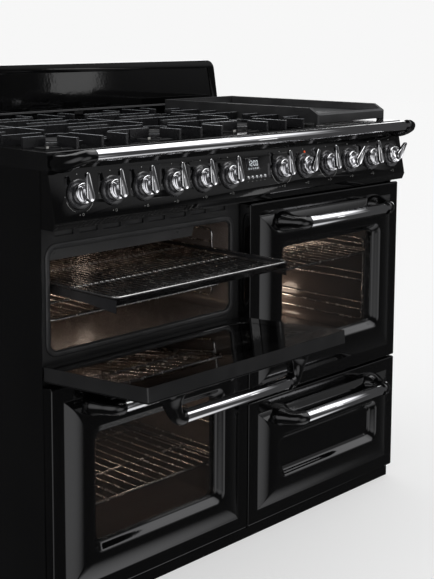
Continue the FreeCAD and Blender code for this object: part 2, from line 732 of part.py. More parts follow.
def drawer_rail(name, edge, outward):
    """A bar behind the edge of the drawer opening, from the front frame to the back panel."""
    body = new_body(name)
    near = f"{edge} {outward} -6"
    high = "drawer_open_low + box_rail"
    plan = rectangle(body, f"{name}_end", "XZ", "frame_back",
                     *sorted((near, f"{edge} {outward} 8"), key=value),
                     f"{high} - rail_height", high)
    pad(body, plan, "rear_panel - frame_back", 1)
    return body


def hinge(low, side_edge, inward, angle="0"):
    """An arm from the front frame to the pin on which a door turns."""
    body = new_body("hinge_arm")
    middle = f"{side_edge} {inward} hinge_spot"
    reach = "frame_setback - hinge_inset"
    arm = rectangle(body, "arm", "YZ", f"{middle} - arm_width / 2", "0", reach,
                    "-arm_radius", "arm_radius")
    pad(body, arm, "arm_width", 1)
    eye = circles(body, "eye", "YZ", f"{middle} - arm_width / 2", [("0", "0")], "arm_radius")
    pad(body, eye, "arm_width", 1)
    pin = circles(body, "pin", "YZ", f"{middle} - pin_reach", [("0", "0")], "pin_radius")
    pad(body, pin, "2 * pin_reach", 1)
    return hang(body, low, angle)


# ---------------------------------------------------------------- doors

def inset(edges, by):
    """The four edges of a front moved inward by a distance."""
    left, right, low, high = edges
    return f"{left} + {by}", f"{right} - ({by})", f"{low} + {by}", f"{high} - ({by})"


def front_edges(left, right, low, high):
    """Edges of a door in the frame of its own hinge line."""
    return left, right, "-hinge_rise", f"({high}) - ({low}) - hinge_rise"


def pressed_front(body, edges):
    """A flat slab with a raised ring: a mitred slope up to its crest, then a rounded dip."""
    slab = rounded(body, "slab", "XZ", "back", *edges, "door_corner")
    pad(body, slab, "door_thick", -1)
    climb = (("ring_margin", "0"), ("ring_crest - ring_round", "ring_rise - ring_drop"),
             ("ring_crest", "ring_rise"))
    loft(body, [rectangle(body, "slope", "XZ", f"face - ({rise})", *inset(edges, by))
                for by, rise in climb])
    fall = (("ring_crest + ring_land", "ring_rise", "window_corner - 4"),
            ("window_inset", "0", "window_corner"))
    loft(body, [rounded(body, "dip", "XZ", f"face - ({rise})", *inset(edges, by), corner)
                for by, rise, corner in fall], cutting=True)


def door_shell(name, edges):
    """A pressed door face with a window, rebates for two panes, and slots for the hinges."""
    body = new_body(name)
    pressed_front(body, edges)
    window = rounded(body, "window", "XZ", "face", *inset(edges, "window_inset"), "window_corner")
    pocket(body, window, "door_thick", 1)
    pane_seat = rounded(body, "pane_seat", "XZ", "back",
                        *inset(edges, "window_inset - pane_overlap"), "window_corner")
    pocket(body, pane_seat, "door_thick - pane_lip", -1)
    rebate = rounded(body, "rebate", "XZ", "back", *inset(edges, "inner_pane_inset"),
                     "window_corner")
    pocket(body, rebate, "pane_thick + inner_pane_set", -1)
    for edge, inward in ((edges[0], "+"), (edges[1], "-")):
        middle = f"{edge} {inward} hinge_spot"
        half_slot = "arm_width / 2 + arm_gap"
        slot = rectangle(body, "hinge_slot", "YZ", f"{middle} - ({half_slot})",
                         "-arm_radius - arm_gap", "back + arm_gap",
                         "-hinge_rise - arm_gap", "arm_radius + arm_gap")
        pocket(body, slot, f"2 * ({half_slot})", 1)
        bore = circles(body, "hinge_bore", "YZ", f"{middle} - pin_reach - arm_gap",
                       [("0", "0")], "pin_radius + pin_fit")
        pocket(body, bore, "2 * (pin_reach + arm_gap)", 1)
    return body


def pane(name, edges, inset_by, near, corner):
    """A flat pane of glass whose outer face stands at a given depth."""
    body = new_body(name)
    plan = rounded(body, f"{name}_plan", "XZ", near, *inset(edges, inset_by), corner)
    pad(body, plan, "pane_thick", 1)
    return body


def handle_bar(name, edges):
    """The round bar across a door."""
    body = new_body(name)
    left, right, _low, high = edges
    end = circles(body, f"{name}_end", "YZ", f"{left} + bar_start",
                  [("face - bar_standoff", f"{high} - bar_drop")], "bar_radius")
    pad(body, end, f"({right}) - ({left}) - 2 * bar_start", 1)
    return body


def handle_end(name, edges, side):
    """A turned foot that narrows to a neck, with a sleeve across its top for the bar."""
    body = new_body(name)
    left, right, _low, high = edges
    edge, inward = (left, "+") if side == "left" else (right, "-")
    height = f"({high}) - bar_drop"
    # the foot is turned about the line that stands out from the door under the sleeve
    half = (("0", "-nose_seat"), ("nose_foot", "-nose_seat"),
            ("nose_neck * 1.2", "nose_waist"), ("nose_neck", "bar_standoff"),
            ("0", "bar_standoff"))
    profile = outline(body, "nose", "XY", "0", half)
    profile.AttachmentOffset = Placement(Vector(), Rotation(Vector(0, 0, 1), 180))
    bind(profile, "AttachmentOffset.Base.x", f"{edge} {inward} nose_centre")
    bind(profile, "AttachmentOffset.Base.y", "face")
    bind(profile, "AttachmentOffset.Base.z", height)
    revolve(body, profile)
    outer = f"{edge} {inward} (nose_centre - nose_sleeve)"
    steps = ((outer, "nose_sleeve - nose_bevel"),
             (f"{outer} {inward} nose_bevel", "nose_sleeve"),
             (f"{edge} {inward} bar_start", "nose_sleeve"))
    loft(body, [circles(body, "sleeve", "YZ", place, [("face - bar_standoff", height)], radius)
                for place, radius in steps])
    return body


def dress_front(name, shell, edges, low, angle="0"):
    """The handle of a door or drawer: its bar, and two ends seated on the pressed face."""
    node(f"{name}_handle", hang(handle_bar(f"{name}_bar", edges), low, angle))
    ends = [hang(handle_end(f"{name}_{side}_nose", edges, side), low, angle)
            for side in ("left", "right")]
    node(f"{name}_handle_ends", trim(f"{name}_seated_ends", gather(f"{name}_noses", ends), shell))


def oven_door(oven, angle="0"):
    left, right, low, high, _rack = OVENS[oven]
    edges = front_edges(left, right, low, high)
    shell = node(f"{oven}_door", hang(door_shell(f"{oven}_shell_body", edges), low, angle))
    outer = pane(f"{oven}_outer_pane", edges, "window_inset - pane_overlap + pane_gap",
                 "face + pane_lip", "window_corner - pane_gap")
    inner = pane(f"{oven}_inner_pane", edges, "inner_pane_inset + pane_gap",
                 "back - inner_pane_set - pane_thick", "window_corner - pane_gap")
    panes = [hang(item, low, angle) for item in (outer, inner)]
    node(f"{oven}_door_glass", gather(f"{oven}_panes", panes))
    dress_front(f"{oven}_door", shell, edges, low, angle)


def drawer():
    """The pressed drawer front with a blank panel, and the sheet box behind it."""
    left, right = OVENS["right"][:2]
    edges = front_edges(left, right, "door_base", "drawer_high")
    body = new_body("drawer_shell")
    pressed_front(body, edges)
    blank = rounded(body, "blank", "XZ", "face", *inset(edges, "window_inset"), "window_corner")
    pocket(body, blank, "panel_recess", 1)
    shell = node("drawer_front", hang(body, "door_base"))
    dress_front("drawer", shell, edges, "door_base")
    box = new_body("drawer_box")
    start = "front + door_thick"
    base = "drawer_open_low + box_base"
    sides = ("drawer_open_inner + box_clear", "drawer_open_outer - box_clear",
             start, f"{start} + box_depth")
    pad(box, rectangle(box, "box_plan", "XY", base, *sides), "box_high", 1)
    hollow = rectangle(box, "box_hollow", "XY", f"{base} + box_high", *inset(sides, "box_sheet"))
    pocket(box, hollow, "box_high - box_sheet", -1)
    seat = "drawer_open_low + box_rail + ride"
    for edge, outward in ((sides[0], "-"), (sides[1], "+")):
        near, far = sorted((edge, f"{edge} {outward} box_flange"), key=value)
        flange = rectangle(box, "box_rim", "XY", seat, near, far, "frame_back + ride",
                           f"{start} + box_depth")
        pad(box, flange, "box_sheet", 1)
    node("drawer_box", box)


# ---------------------------------------------------------------- racks, tray and grid

def rack(name, left, right, front, back, low, bars):
    """A rounded rim with bars from front to back."""
    body = new_body(name)
    edges = (left, right, front, back)
    pad(body, rounded(body, f"{name}_rim", "XY", low, *edges, "rack_corner"), "rack_rim", 1)
    hole = rounded(body, f"{name}_hole", "XY", f"{low} + rack_rim", *inset(edges, "rack_rim"),
                   "rack_corner - rack_rim")
    pocket(body, hole, "rack_rim", -1)
    first = f"{left} + ({right} - ({left})) / ({bars} + 1)"
    middle = f"{low} + rack_rim / 2"
    bar = rectangle(body, f"{name}_bar", "XZ", f"{front} + rack_rim / 2",
                    f"{first} - rack_wire", f"{first} + rack_wire",
                    f"{middle} - rack_wire", f"{middle} + rack_wire")
    strand = pad(body, bar, f"({back}) - ({front}) - rack_rim", 1)
    repeat(body, strand, "X_Axis", f"({right} - ({left})) * ({bars} - 1) / ({bars} + 1)", bars)
    return body


def oven_rack(oven):
    left, right, _low, _high = mouth(oven)
    front = "frame_back + rack_front"
    height = OVENS[oven][4]
    return rack(f"{oven}_rack", f"{left} + rack_clear", f"{right} - rack_clear", front,
                f"{front} + rack_depth", f"{height} - rack_rim / 2", "rack_bars")


def grill_tray():
    """A deep enamelled tray with a flat rim that rides on the runner wires."""
    left, right, _low, _high = mouth("upper_left")
    body = new_body("grill_tray")
    rim = (f"{left} + tray_clear", f"{right} - tray_clear", "tray_front", "tray_back")
    top = "tray_rim_height"
    pad(body, rounded(body, "tray_rim", "XY", top, *rim, "tray_corner"), "tray_sheet", -1)
    pan = rounded(body, "tray_pan", "XY", top, *inset(rim, "tray_flange"),
                  "tray_corner - tray_flange / 2")
    pad(body, pan, "tray_deep", -1)
    hollow = rounded(body, "tray_hollow", "XY", top, *inset(rim, "tray_flange + tray_sheet"),
                     "tray_corner - tray_flange / 2 - tray_sheet")
    pocket(body, hollow, "tray_deep - tray_sheet", -1)
    return body


def tray_grid():
    """A wire grid with four feet that stands on the floor of the tray."""
    left, right, _low, _high = mouth("upper_left")
    wall = "tray_clear + tray_flange + tray_sheet + grid_clear"
    floor = "tray_rim_height - tray_deep + tray_sheet"
    low = f"{floor} + grid_rise"
    edges = (f"{left} + {wall}", f"{right} - ({wall})",
             "tray_front + tray_flange + tray_sheet + grid_setback",
             "tray_back - tray_flange - tray_sheet - grid_clear")
    body = rack("tray_grid", *edges, low, "rack_bars")
    middle = f"({edges[2]} + {edges[3]}) / 2"
    for edge, inward in ((edges[0], "+"), (edges[1], "-")):
        for place in (f"{middle} - tray_depth / 4", f"{middle} + tray_depth / 4"):
            near, far = sorted((edge, f"{edge} {inward} rack_rim"), key=value)
            foot = rectangle(body, "grid_foot", "XY", floor, near, far,
                             place, f"{place} + grid_foot")
            pad(body, foot, "grid_rise + rack_rim / 2", 1)
    return body


# ---------------------------------------------------------------- control panel

def control_panel():
    """A hollow sloping fascia with a bezel for every knob and a recessed clock window."""
    body = new_body("control_panel")

    def profile(by):
        """The section of the fascia, moved inward by a distance."""
        return ((f"panel_y + {by}", f"skirt_low - {by}"), (f"panel_nose + {by}", "panel_low"),
                (f"panel_nose + panel_under + {by}", f"frame_high + {by}"),
                (f"frame_back - {by}", f"frame_high + {by}"),
                (f"frame_back - {by}", f"skirt_low - {by}"))
    skin_plan = outline(body, "fascia", "YZ", "-skin_inside", profile("0"))
    pad(body, skin_plan, "2 * skin_inside", 1)
    hollow = outline(body, "hollow", "YZ", "-skin_inside + panel_sheet", profile("panel_sheet"))
    pocket(body, hollow, "2 * (skin_inside - panel_sheet)", 1)
    for first in ("knob_left", "knob_right"):
        bezel = circles(body, "bezel", "XZ", "0", [(first, "-knob_drop")], "bezel_radius")
        on_fascia(bezel)
        raised = pad(body, bezel, "bezel_height", -1)
        repeat(body, raised, "X_Axis", "(knobs_a_side - 1) * knob_pitch", "knobs_a_side")
        hole = circles(body, "spindle_hole", "XZ", "0", [(first, "-knob_drop")],
                       "spindle + spindle_fit")
        on_fascia(hole, "bezel_height")
        bore = pocket(body, hole, "bezel_height + 2 * panel_sheet", 1)
        repeat(body, bore, "X_Axis", "(knobs_a_side - 1) * knob_pitch", "knobs_a_side")
    clock = rectangle(body, "clock", "XZ", "0", "display_left", "display_right",
                      "-display_drop - display_height", "-display_drop")
    on_fascia(clock)
    pocket(body, clock, "display_recess", 1)
    key = circles(body, "button_hole", "XZ", "0", [("button_left", "-button_drop")],
                  "button_radius + button_fit")
    on_fascia(key)
    bore = pocket(body, key, "2 * panel_sheet", 1)
    repeat(body, bore, "X_Axis", "(button_count - 1) * button_pitch", "button_count")
    return body


def on_fascia(sketch, proud="0"):
    """Lay a sketch of the upright plane on the sloping fascia, its origin at the top edge."""
    lean = Rotation(Vector(-1, 0, 0), value("panel_lean"))
    sketch.setExpression("AttachmentOffset.Base.z", None)
    sketch.AttachmentOffset = Placement(Vector(0, 0, 0), lean)
    bind(sketch, "AttachmentOffset.Rotation.Angle", "panel_lean")
    bind(sketch, "AttachmentOffset.Base.y", f"skirt_low + ({proud}) * sin(panel_lean)")
    bind(sketch, "AttachmentOffset.Base.z", f"-(panel_y) + ({proud}) * cos(panel_lean)")


def stand_on_fascia(body, across, drop):
    """Place a piece on the fascia: its Z points out, its Y up the slope."""
    body.Placement = Placement(Vector(0, 0, 0), Rotation(Vector(1, 0, 0), 90 - value("panel_lean")))
    bind(body, "Placement.Base.x", across)
    bind(body, "Placement.Base.y", f"panel_y - ({drop}) * sin(panel_lean)")
    bind(body, "Placement.Base.z", f"skirt_low - ({drop}) * cos(panel_lean)")
    bind(body, "Placement.Rotation.Angle", "90 - panel_lean")
    return body


def lever_outline(body, at):
    """A long drop: a small arc at the tip and a larger one at the tail, joined by tangents."""
    sketch = sketch_on(body, "lever", "XY", at)
    tip, tail = value("lever_tip"), -value("lever_tail")
    thin, full = value("lever_tip_radius"), value("lever_tail_radius")
    spread = Part.Circle(Vector(0, tip, 0), Vector(0, 0, 1), thin)
    seat = Part.Circle(Vector(0, tail, 0), Vector(0, 0, 1), full)
    upper = Part.ArcOfCircle(spread, 0, _radians(180))
    lower = Part.ArcOfCircle(seat, _radians(180), _radians(360))
    shapes = (Part.LineSegment(lower.EndPoint, upper.StartPoint), upper,
              Part.LineSegment(upper.EndPoint, lower.StartPoint), lower)
    for shape in shapes:
        sketch.addGeometry(shape, False)
    sketch.addConstraint([Sketcher.Constraint("Tangent", item, 2, (item + 1) % 4, 1)
                          for item in range(4)])
    for arc, radius in ((1, "lever_tip_radius"), (3, "lever_tail_radius")):
        index = sketch.addConstraint(Sketcher.Constraint("Radius", arc, value(radius)))
        sketch.setExpression(f"Constraints[{index}]", formula(radius))
    place_points(sketch, ((1, 3, "x", "0"), (1, 3, "y", "lever_tip"),
                          (3, 3, "x", "0"), (3, 3, "y", "-lever_tail")))
    return sketch


def knob(name, across, turn):
    """A round body with a tall lever across its face, turned clockwise, and a spindle behind."""
    body = new_body(name)
    disc = circles(body, "disc", "XY", "knob_seat", [("0", "0")], "knob_radius")
    pad(body, disc, "knob_height", 1)
    lever = lever_outline(body, "knob_seat + knob_height")
    if turn:
        spot = lever.AttachmentOffset.Base
        lever.AttachmentOffset = Placement(spot, Rotation(Vector(0, 0, -1), value(turn)))
        bind(lever, "AttachmentOffset.Rotation.Angle", turn)
    pad(body, lever, "lever_height - knob_height", 1)
    shaft = circles(body, "shaft", "XY", "knob_seat", [("0", "0")], "spindle")
    pad(body, shaft, "spindle_reach", -1)
    return stand_on_fascia(body, across, "knob_drop")


def button(name, across):
    """A round push button with a bevelled face."""
    body = new_body(name)
    plan = circles(body, "key", "XY", "-button_deep", [("0", "0")], "button_radius")
    pad(body, plan, "button_deep + button_proud", 1)
    return stand_on_fascia(body, across, "button_drop")


# ---------------------------------------------------------------- hob

def hob_outline(body):
    """The plain block that bounds the hob."""
    plan = rectangle(body, "hob_plan", "XY", "skirt_low", "-half", "half", "front", "rear")
    return pad(body, plan, "skirt", 1)


def hob_top():
    """A pressed tray turned down at its edges, with a sunk well under the burners."""
    body = new_body("hob_top")
    hob_outline(body)
    floor = rounded(body, "hob_well", "XY", "hob_height", "-half + hob_rim", "well_right",
                    "front + hob_rim", "rear - hob_rim_back", "hob_corner")
    pocket(body, floor, "hob_sink", -1)
    hollow = rectangle(body, "hob_hollow", "XY", "skirt_low",
                       *inset(("-half", "half", "front", "rear"), "hob_sheet"))
    pocket(body, hollow, "skirt - hob_sink - hob_sheet", 1)
    round_edges(body, "hob_sheet * 0.8",
                lambda edge: edge.BoundBox.ZMin > value("hob_height") - 0.01
                and edge.BoundBox.ZLength < 0.01
                and (edge.BoundBox.XLength > value("width") - 1
                     or edge.BoundBox.YLength > value("depth") - 1))
    return body


def rows():
    """Where the two rows of burners lie, front and back."""
    middle = "front + support_middle"
    return f"{middle} - burner_spread / 2", f"{middle} + burner_spread / 2"


def columns():
    """Where the three columns of burners lie, from left to right."""
    return ("burner_middle - burner_pitch", "burner_middle", "burner_middle + burner_pitch")


def burner_plan():
    """Every burner: its place on the hob and its radius."""
    front_sizes = ("rapid_radius", "simmer_radius", "rapid_radius")
    back_sizes = ("rapid_radius", "simmer_radius", "wok_radius")
    return [(column, row, size) for row, sizes in zip(rows(), (front_sizes, back_sizes))
            for column, size in zip(columns(), sizes)]


def burner_body(spot):
    """A low aluminium cup with a narrower burner ring on it."""
    across, deep, radius = spot
    body = new_body("burner")
    plan = circles(body, "cup", "XY", "hob_floor", [(across, deep)], radius)
    pad(body, plan, "burner_base", 1)
    ring = circles(body, "crown", "XY", "hob_floor + burner_base", [(across, deep)],
                   f"{radius} - burner_step")
    pad(body, ring, "burner_crown", 1)
    return body


def burner_cap(spot):
    """The enamelled lid of a burner with a bevelled edge."""
    across, deep, radius = spot
    body = new_body("cap")
    low = "hob_floor + burner_base + burner_crown"
    plan = circles(body, "lid", "XY", low, [(across, deep)], f"{radius} - burner_step / 2")
    pad(body, plan, "cap_thick", 1)
    top = value(f"{low} + cap_thick")
    bevel_edges(body, "cap_edge", lambda edge: edge.BoundBox.ZMin > top - 0.01)
    return body


def pan_support(name, column):
    """A cast grid: round each burner twelve upright bars stand on a low ring that joins them."""
    body = new_body(name)
    middle = "front + support_middle"
    half_wide, half_long = "support_width / 2", "support_length / 2"

    def bar(plane, at, outer, joint, inner=None):
        """An upright bar, level below as far as the ring and then rising to a shallow tip."""
        corners = [(outer, "support_low"), (joint, "support_low"), (joint, "support_high"),
                   (outer, "support_high")]
        if inner:
            corners[2:3] = [(inner, "support_high - support_tip"), (inner, "support_high")]
        side = outline(body, "bar", plane, f"{at} - support_blade / 2", corners)
        pad(body, side, "support_blade", 1)

    for row in rows():
        ring = rounded(body, "ring", "XY", "support_low",
                       *inset((column, column, row, row), "-(ring_half + support_blade / 2)"),
                       "ring_corner + support_blade")
        pad(body, ring, "ring_height", 1)
        hole = rounded(body, "ring_hole", "XY", "support_low + ring_height",
                       *inset((column, column, row, row), "-(ring_half - support_blade / 2)"),
                       "ring_corner")
        pocket(body, hole, "ring_height", -1)
    for row, sign in zip(rows(), "-+"):
        for edge in "-+":
            outer = f"{column} {edge} {half_wide}"
            bar("XZ", row, outer, f"{column} {edge} ring_half", f"{column} {edge} finger_gap")
            for side in "-+":
                bar("XZ", f"{row} {side} support_side", outer, f"{column} {edge} ring_half")
        outer = f"{middle} {sign} {half_long}"
        bar("YZ", column, outer, f"{row} {sign} ring_half", f"{row} {sign} finger_gap")
        for side in "-+":
            bar("YZ", f"{column} {side} support_side", outer, f"{row} {sign} ring_half")
        away = "-" if sign == "+" else "+"
        bar("YZ", column, middle, f"{row} {away} ring_half", f"{row} {away} finger_gap")
    spine = outline(body, "cross_bar", "XZ", f"{middle} - support_blade / 2",
                    ((f"{column} - {half_wide}", "support_low"),
                     (f"{column} + {half_wide}", "support_low"),
                     (f"{column} + {half_wide}", "support_high"),
                     (f"{column} - {half_wide}", "support_high")))
    pad(body, spine, "support_blade", 1)
    return body


def griddle():
    """A cast plate inside raised rims that slope down to a low lip at the front."""
    body = new_body("griddle")
    front, back = "front + griddle_front", "front + griddle_back"
    top, base = "hob_height + griddle_top", "hob_height + griddle_base"
    side = ((front, base), (front, "hob_height + griddle_lip"),
            (f"{front} + griddle_slope", top), (back, top), (back, base))
    plan = outline(body, "griddle_side", "YZ", "griddle_left", side)
    pad(body, plan, "griddle_right - griddle_left", 1)
    round_edges(body, "griddle_round", lambda edge: along(edge, Z_AXIS))
    edges = ("griddle_left + griddle_rim", "griddle_right - griddle_rim",
             f"{front} + griddle_lip_width", f"{back} - griddle_rim")
    well = rectangle(body, "griddle_well", "XY", top, *edges)
    pocket(body, well, "griddle_top - griddle_plate", -1)
    hollow = rectangle(body, "griddle_hollow", "XY", base, *edges)
    pocket(body, hollow, "griddle_plate - griddle_floor - griddle_base", 1)
    for near, far in (("griddle_left", "griddle_left + griddle_leg"),
                      ("griddle_right - griddle_leg", "griddle_right")):
        for start, end in ((front, f"{front} + griddle_leg"), (f"{back} - griddle_leg", back)):
            leg = rounded(body, "griddle_leg", "XY", "support_low", near, far, start, end,
                          "griddle_round")
            pad(body, leg, "griddle_plate - griddle_floor - support_seat", 1)
    return body


def backsplash():
    """An upstand that flares to the hob, with rounded shoulders and a recessed panel."""
    body = new_body("backsplash")
    face = "rear - splash_thick"
    top = "hob_height + splash_top"
    foot = "splash_half + splash_flare"
    shape = ((f"-({foot})", "hob_height"), (foot, "hob_height"), ("splash_half", top),
             ("-splash_half", top))
    pad(body, outline(body, "upstand", "XZ", "rear", shape), "splash_thick", -1)
    shoulder = value(top)
    round_edges(body, "splash_corner",
                lambda edge: along(edge, Y_AXIS) and edge.BoundBox.ZMin > shoulder - 0.01)
    low = "hob_height + splash_step"
    narrow = "splash_half - splash_border"
    flare = "splash_flare * (splash_top - splash_step) / splash_top"
    inner = ((f"-({narrow} + {flare})", low), (f"{narrow} + {flare}", low),
             (narrow, f"{top} - splash_border"), (f"-({narrow})", f"{top} - splash_border"))
    pocket(body, outline(body, "panel", "XZ", face, inner), "splash_recess", 1)
    step = rectangle(body, "step", "XZ", face, f"-({foot} - splash_border)",
                     f"{foot} - splash_border", "hob_height", low)
    pad(body, step, "splash_step_deep", -1)
    return body


def towel_rail():
    body = new_body("towel_rail")
    end = circles(body, "rail_end", "YZ", "-rail_half", [("rail_y", "rail_z")], "rail_radius")
    pad(body, end, "2 * rail_half", 1)
    return body


def rail_horn(name, side):
    """A horn that leaves the corner of the hob and bends forward to hold the rail."""
    body = new_body(name)
    span = "(half - rail_half)"
    root_z = "hob_height - skirt / 2"
    # share of the way out, share of the way back to the hob, share of the drop, radius
    steps = ((0, 0, 0, "horn_sleeve"), (0.2, 0.05, 0.1, "horn_sleeve + 0.5"),
             (0.5, 0.3, 0.4, "horn_sleeve + 1"), (0.8, 0.68, 0.8, "horn_root"),
             (0.98, 0.95, 1, "horn_root - 3"))
    rings = [circles(body, f"{name}_ring", "YZ", f"{side}(rail_half + {out} * {span})",
                     [(f"rail_y + {back_} * rail_standoff",
                       f"rail_z + {fall} * ({root_z} - rail_z)")], radius)
             for out, back_, fall, radius in steps]
    loft(body, rings)
    return body


def services():
    """The gas stub with its flange, and the terminal box with a cable opening."""
    wall = "rear_panel + skin"
    stub = new_body("gas_stub")
    spot = [("gas_spot", "gas_height")]
    pad(stub, circles(stub, "flange", "XZ", wall, spot, "gas_flange"), "gas_length / 4", 1)
    pad(stub, circles(stub, "stub", "XZ", wall, spot, "gas_radius"), "gas_length", 1)
    box = new_body("terminal_box")
    left = "terminal_spot - terminal_width / 2"
    low = "gas_height"
    plan = rectangle(box, "terminal", "XZ", wall, left, f"{left} + terminal_width", low,
                     f"{low} + terminal_height")
    pad(box, plan, "terminal_deep", 1)
    gland = circles(box, "gland", "XY", low,
                    [("terminal_spot", f"{wall} + terminal_deep / 2")], "gland_radius")
    pocket(box, gland, "terminal_height / 3", 1)
    return gather("services", [stub, box])


# ---------------------------------------------------------------- the whole cooker

node("plinth", plinth())
skins = [side_panel("left_skin", "-"), side_panel("right_skin", ""), back_panel(), base_panel()]
node("outer_panels", gather("casing_skins", skins))
node("front_frame", front_frame())
for oven in OVENS:
    node(f"{oven}_cavity", cavity(oven))
node("oven_seals", gather("seals", [seal(oven) for oven in OVENS]))
node("fan_covers", gather("fans", [fan_cover(oven) for oven in OVENS]))
rails = [drawer_rail("inner_rail", "drawer_open_inner", "-"),
         drawer_rail("outer_rail", "drawer_open_outer", "+")]
wire_frames = [runner(oven, side, runner_levels(oven))
               for oven in OVENS for side in ("left", "right")]
node("shelf_runners", gather("runners", wire_frames + rails))
arms = [hinge(low, edge, inward) for left, right, low, _high, _rack in OVENS.values()
        for edge, inward in ((left, "+"), (right, "-"))]
node("door_hinges", gather("hinge_arms", arms))
for oven in OVENS:
    oven_door(oven, "upper_open" if oven == "upper_left" else "0")
    node(f"{oven}_rack", oven_rack(oven))
drawer()
node("grill_tray", grill_tray())
node("tray_grid", tray_grid())
node("control_panel", control_panel())
node("hob_top", hob_top())
node("burner_bodies", gather("bodies", [burner_body(spot) for spot in burner_plan()]))
node("burner_caps", gather("caps", [burner_cap(spot) for spot in burner_plan()]))
for side, column in zip(("left", "middle", "right"), columns()):
    node(f"{side}_pan_support", pan_support(f"{side}_grid", column))
node("griddle", griddle())
node("backsplash", backsplash())
node("towel_rail", towel_rail())
horns = gather("horns", [rail_horn("left_horn", "-"), rail_horn("right_horn", "")])
hob_block = new_body("hob_block")
hob_outline(hob_block)
node("towel_rail_ends", trim("seated_horns", horns, hob_block))
node("supply_connections", services())
# Levers point up, apart from three that are turned clockwise by these angles.
TURNED = {8: "eighth_turn", 10: "tenth_turn", 12: "twelfth_turn"}
A_SIDE = int(value("knobs_a_side"))
for number in range(1, 2 * A_SIDE + 1):
    group, place = divmod(number - 1, A_SIDE)
    across = f"{('knob_left', 'knob_right')[group]} + {place} * knob_pitch"
    node(f"knob_{number}", knob(f"knob_{number}", across, TURNED.get(number)))
for number in range(1, int(value("button_count")) + 1):
    node(f"button_{number}",
         button(f"button_{number}", f"button_left + {number - 1} * button_pitch"))

doc.recompute()

faults = [item.Name for item in doc.Objects if {"Invalid", "Error"} & set(item.State)]
if faults:
    raise RuntimeError(f"features that failed: {faults}")
for item in doc.Objects:
    if item.TypeId == "PartDesign::Pocket":
        removed = item.BaseFeature.Shape.Volume - item.Shape.Volume
        if removed <= 0:
            raise RuntimeError(f"{item.Name} removes nothing")
for name, thing in NODES.items():
    shape = thing.Shape
    if shape.isNull() or not shape.isValid() or not shape.Solids:
        raise RuntimeError(f"{name} is not a sound solid")

os.makedirs("parts", exist_ok=True)
for name, thing in NODES.items():
    thing.Shape.exportStep(f"parts/{name}.step")
print(f"{len(NODES)} nodes, {sum(len(thing.Shape.Solids) for thing in NODES.values())} solids")
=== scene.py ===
# %% [markdown]
# # A range cooker, dressed piece by piece
# The solids of the cooker are fixed: casing, doors, hob and controls stand where they are and
# open about their own hinges. This lesson puts finishes on them and adds what sheet solids
# can't show: round wires, sculpted handle ends, printed marks, lamps and glass.
# X runs to the right, Y to the back, Z up, and every length is in metres.

# %% Load the fixed solids
import math

import bmesh
import bpy
from mathutils import Matrix, Vector


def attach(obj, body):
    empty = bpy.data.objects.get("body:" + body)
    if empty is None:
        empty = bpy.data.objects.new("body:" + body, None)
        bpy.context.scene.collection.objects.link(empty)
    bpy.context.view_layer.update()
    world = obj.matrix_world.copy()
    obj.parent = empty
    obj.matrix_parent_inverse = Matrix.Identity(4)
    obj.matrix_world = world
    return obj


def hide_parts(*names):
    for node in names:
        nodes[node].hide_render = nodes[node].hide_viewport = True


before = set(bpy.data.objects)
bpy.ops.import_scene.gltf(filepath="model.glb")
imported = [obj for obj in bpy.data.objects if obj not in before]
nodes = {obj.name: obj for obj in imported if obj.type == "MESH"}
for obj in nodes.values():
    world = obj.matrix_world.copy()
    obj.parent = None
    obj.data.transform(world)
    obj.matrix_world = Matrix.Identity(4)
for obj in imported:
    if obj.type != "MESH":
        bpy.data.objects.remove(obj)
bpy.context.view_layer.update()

# %% [markdown]
# ## The camera
# The picture was taken from the left front, a little over the height of the hob. The two
# edges of each door and the knobs, whose spacing is known, fix the eye, the heading and the
# lens. The picture is a low crop of a wider one: the lens is shifted downwards by half of
# what that asks for and the tilt does the rest, so that the cooker stays in other views.

# %% Camera
picture_width, picture_height = 434, 579
focal_pixels = 1175.8
centre_pixel = (173.5, 180.0)
eye = Vector((-1.8646, -1.9364, 1.1152))
heading, tilt, roll = 0.7847, 0.1260, 0.0003

camera_data = bpy.data.cameras.new("camera")
camera_data.lens = focal_pixels * camera_data.sensor_width / picture_height
camera_data.shift_x = (picture_width / 2 - centre_pixel[0]) / picture_height
camera_data.shift_y = (centre_pixel[1] - picture_height / 2) / picture_height
camera = bpy.data.objects.new("camera", camera_data)
camera.matrix_world = (Matrix.Translation(eye)
                       @ Matrix.Rotation(-heading, 4, "Z")
                       @ Matrix.Rotation(math.pi / 2 - tilt, 4, "X")
                       @ Matrix.Rotation(roll, 4, "Z"))
bpy.context.scene.collection.objects.link(camera)
bpy.context.scene.camera = camera
print("lens:", round(camera_data.lens, 1), "mm")

# %% [markdown]
# ## Nodes
# The room and every finish are networks of nodes. Two helpers write them: one fills the inputs
# of a node from other nodes or with plain values, the other adds a node and fills it.

# %% Helpers for nodes
def fill(tree, node, inputs):
    """Link each input to the socket given for it, or set it to the value."""
    for key, value in inputs.items():
        if isinstance(value, bpy.types.NodeSocket):
            tree.links.new(value, node.inputs[key])
        else:
            node.inputs[key].default_value = value


def add_node(tree, kind, inputs=None, **options):
    """Add a shader node with its options and inputs; returns its outputs."""
    node = tree.nodes.new("ShaderNode" + kind)
    for option, value in options.items():
        setattr(node, option, value)
    fill(tree, node, inputs or {})
    return node.outputs


def new_material(name):
    """A material with its node tree and its shader."""
    material = bpy.data.materials.new(name)
    material.use_nodes = True
    return material, material.node_tree, material.node_tree.nodes["Principled BSDF"]


print("node helpers ready")

# %% [markdown]
# ## Studio
# Black enamel shows only what it mirrors, so the mirrored room is dark except for soft glows:
# before the cooker, beside the camera, high on the right and straight below. Area lamps stand
# over the hob, low on the right, which lights a patch of the backsplash, and behind. The floor
# isn't mirrored. Towards the eye the room is plain white.

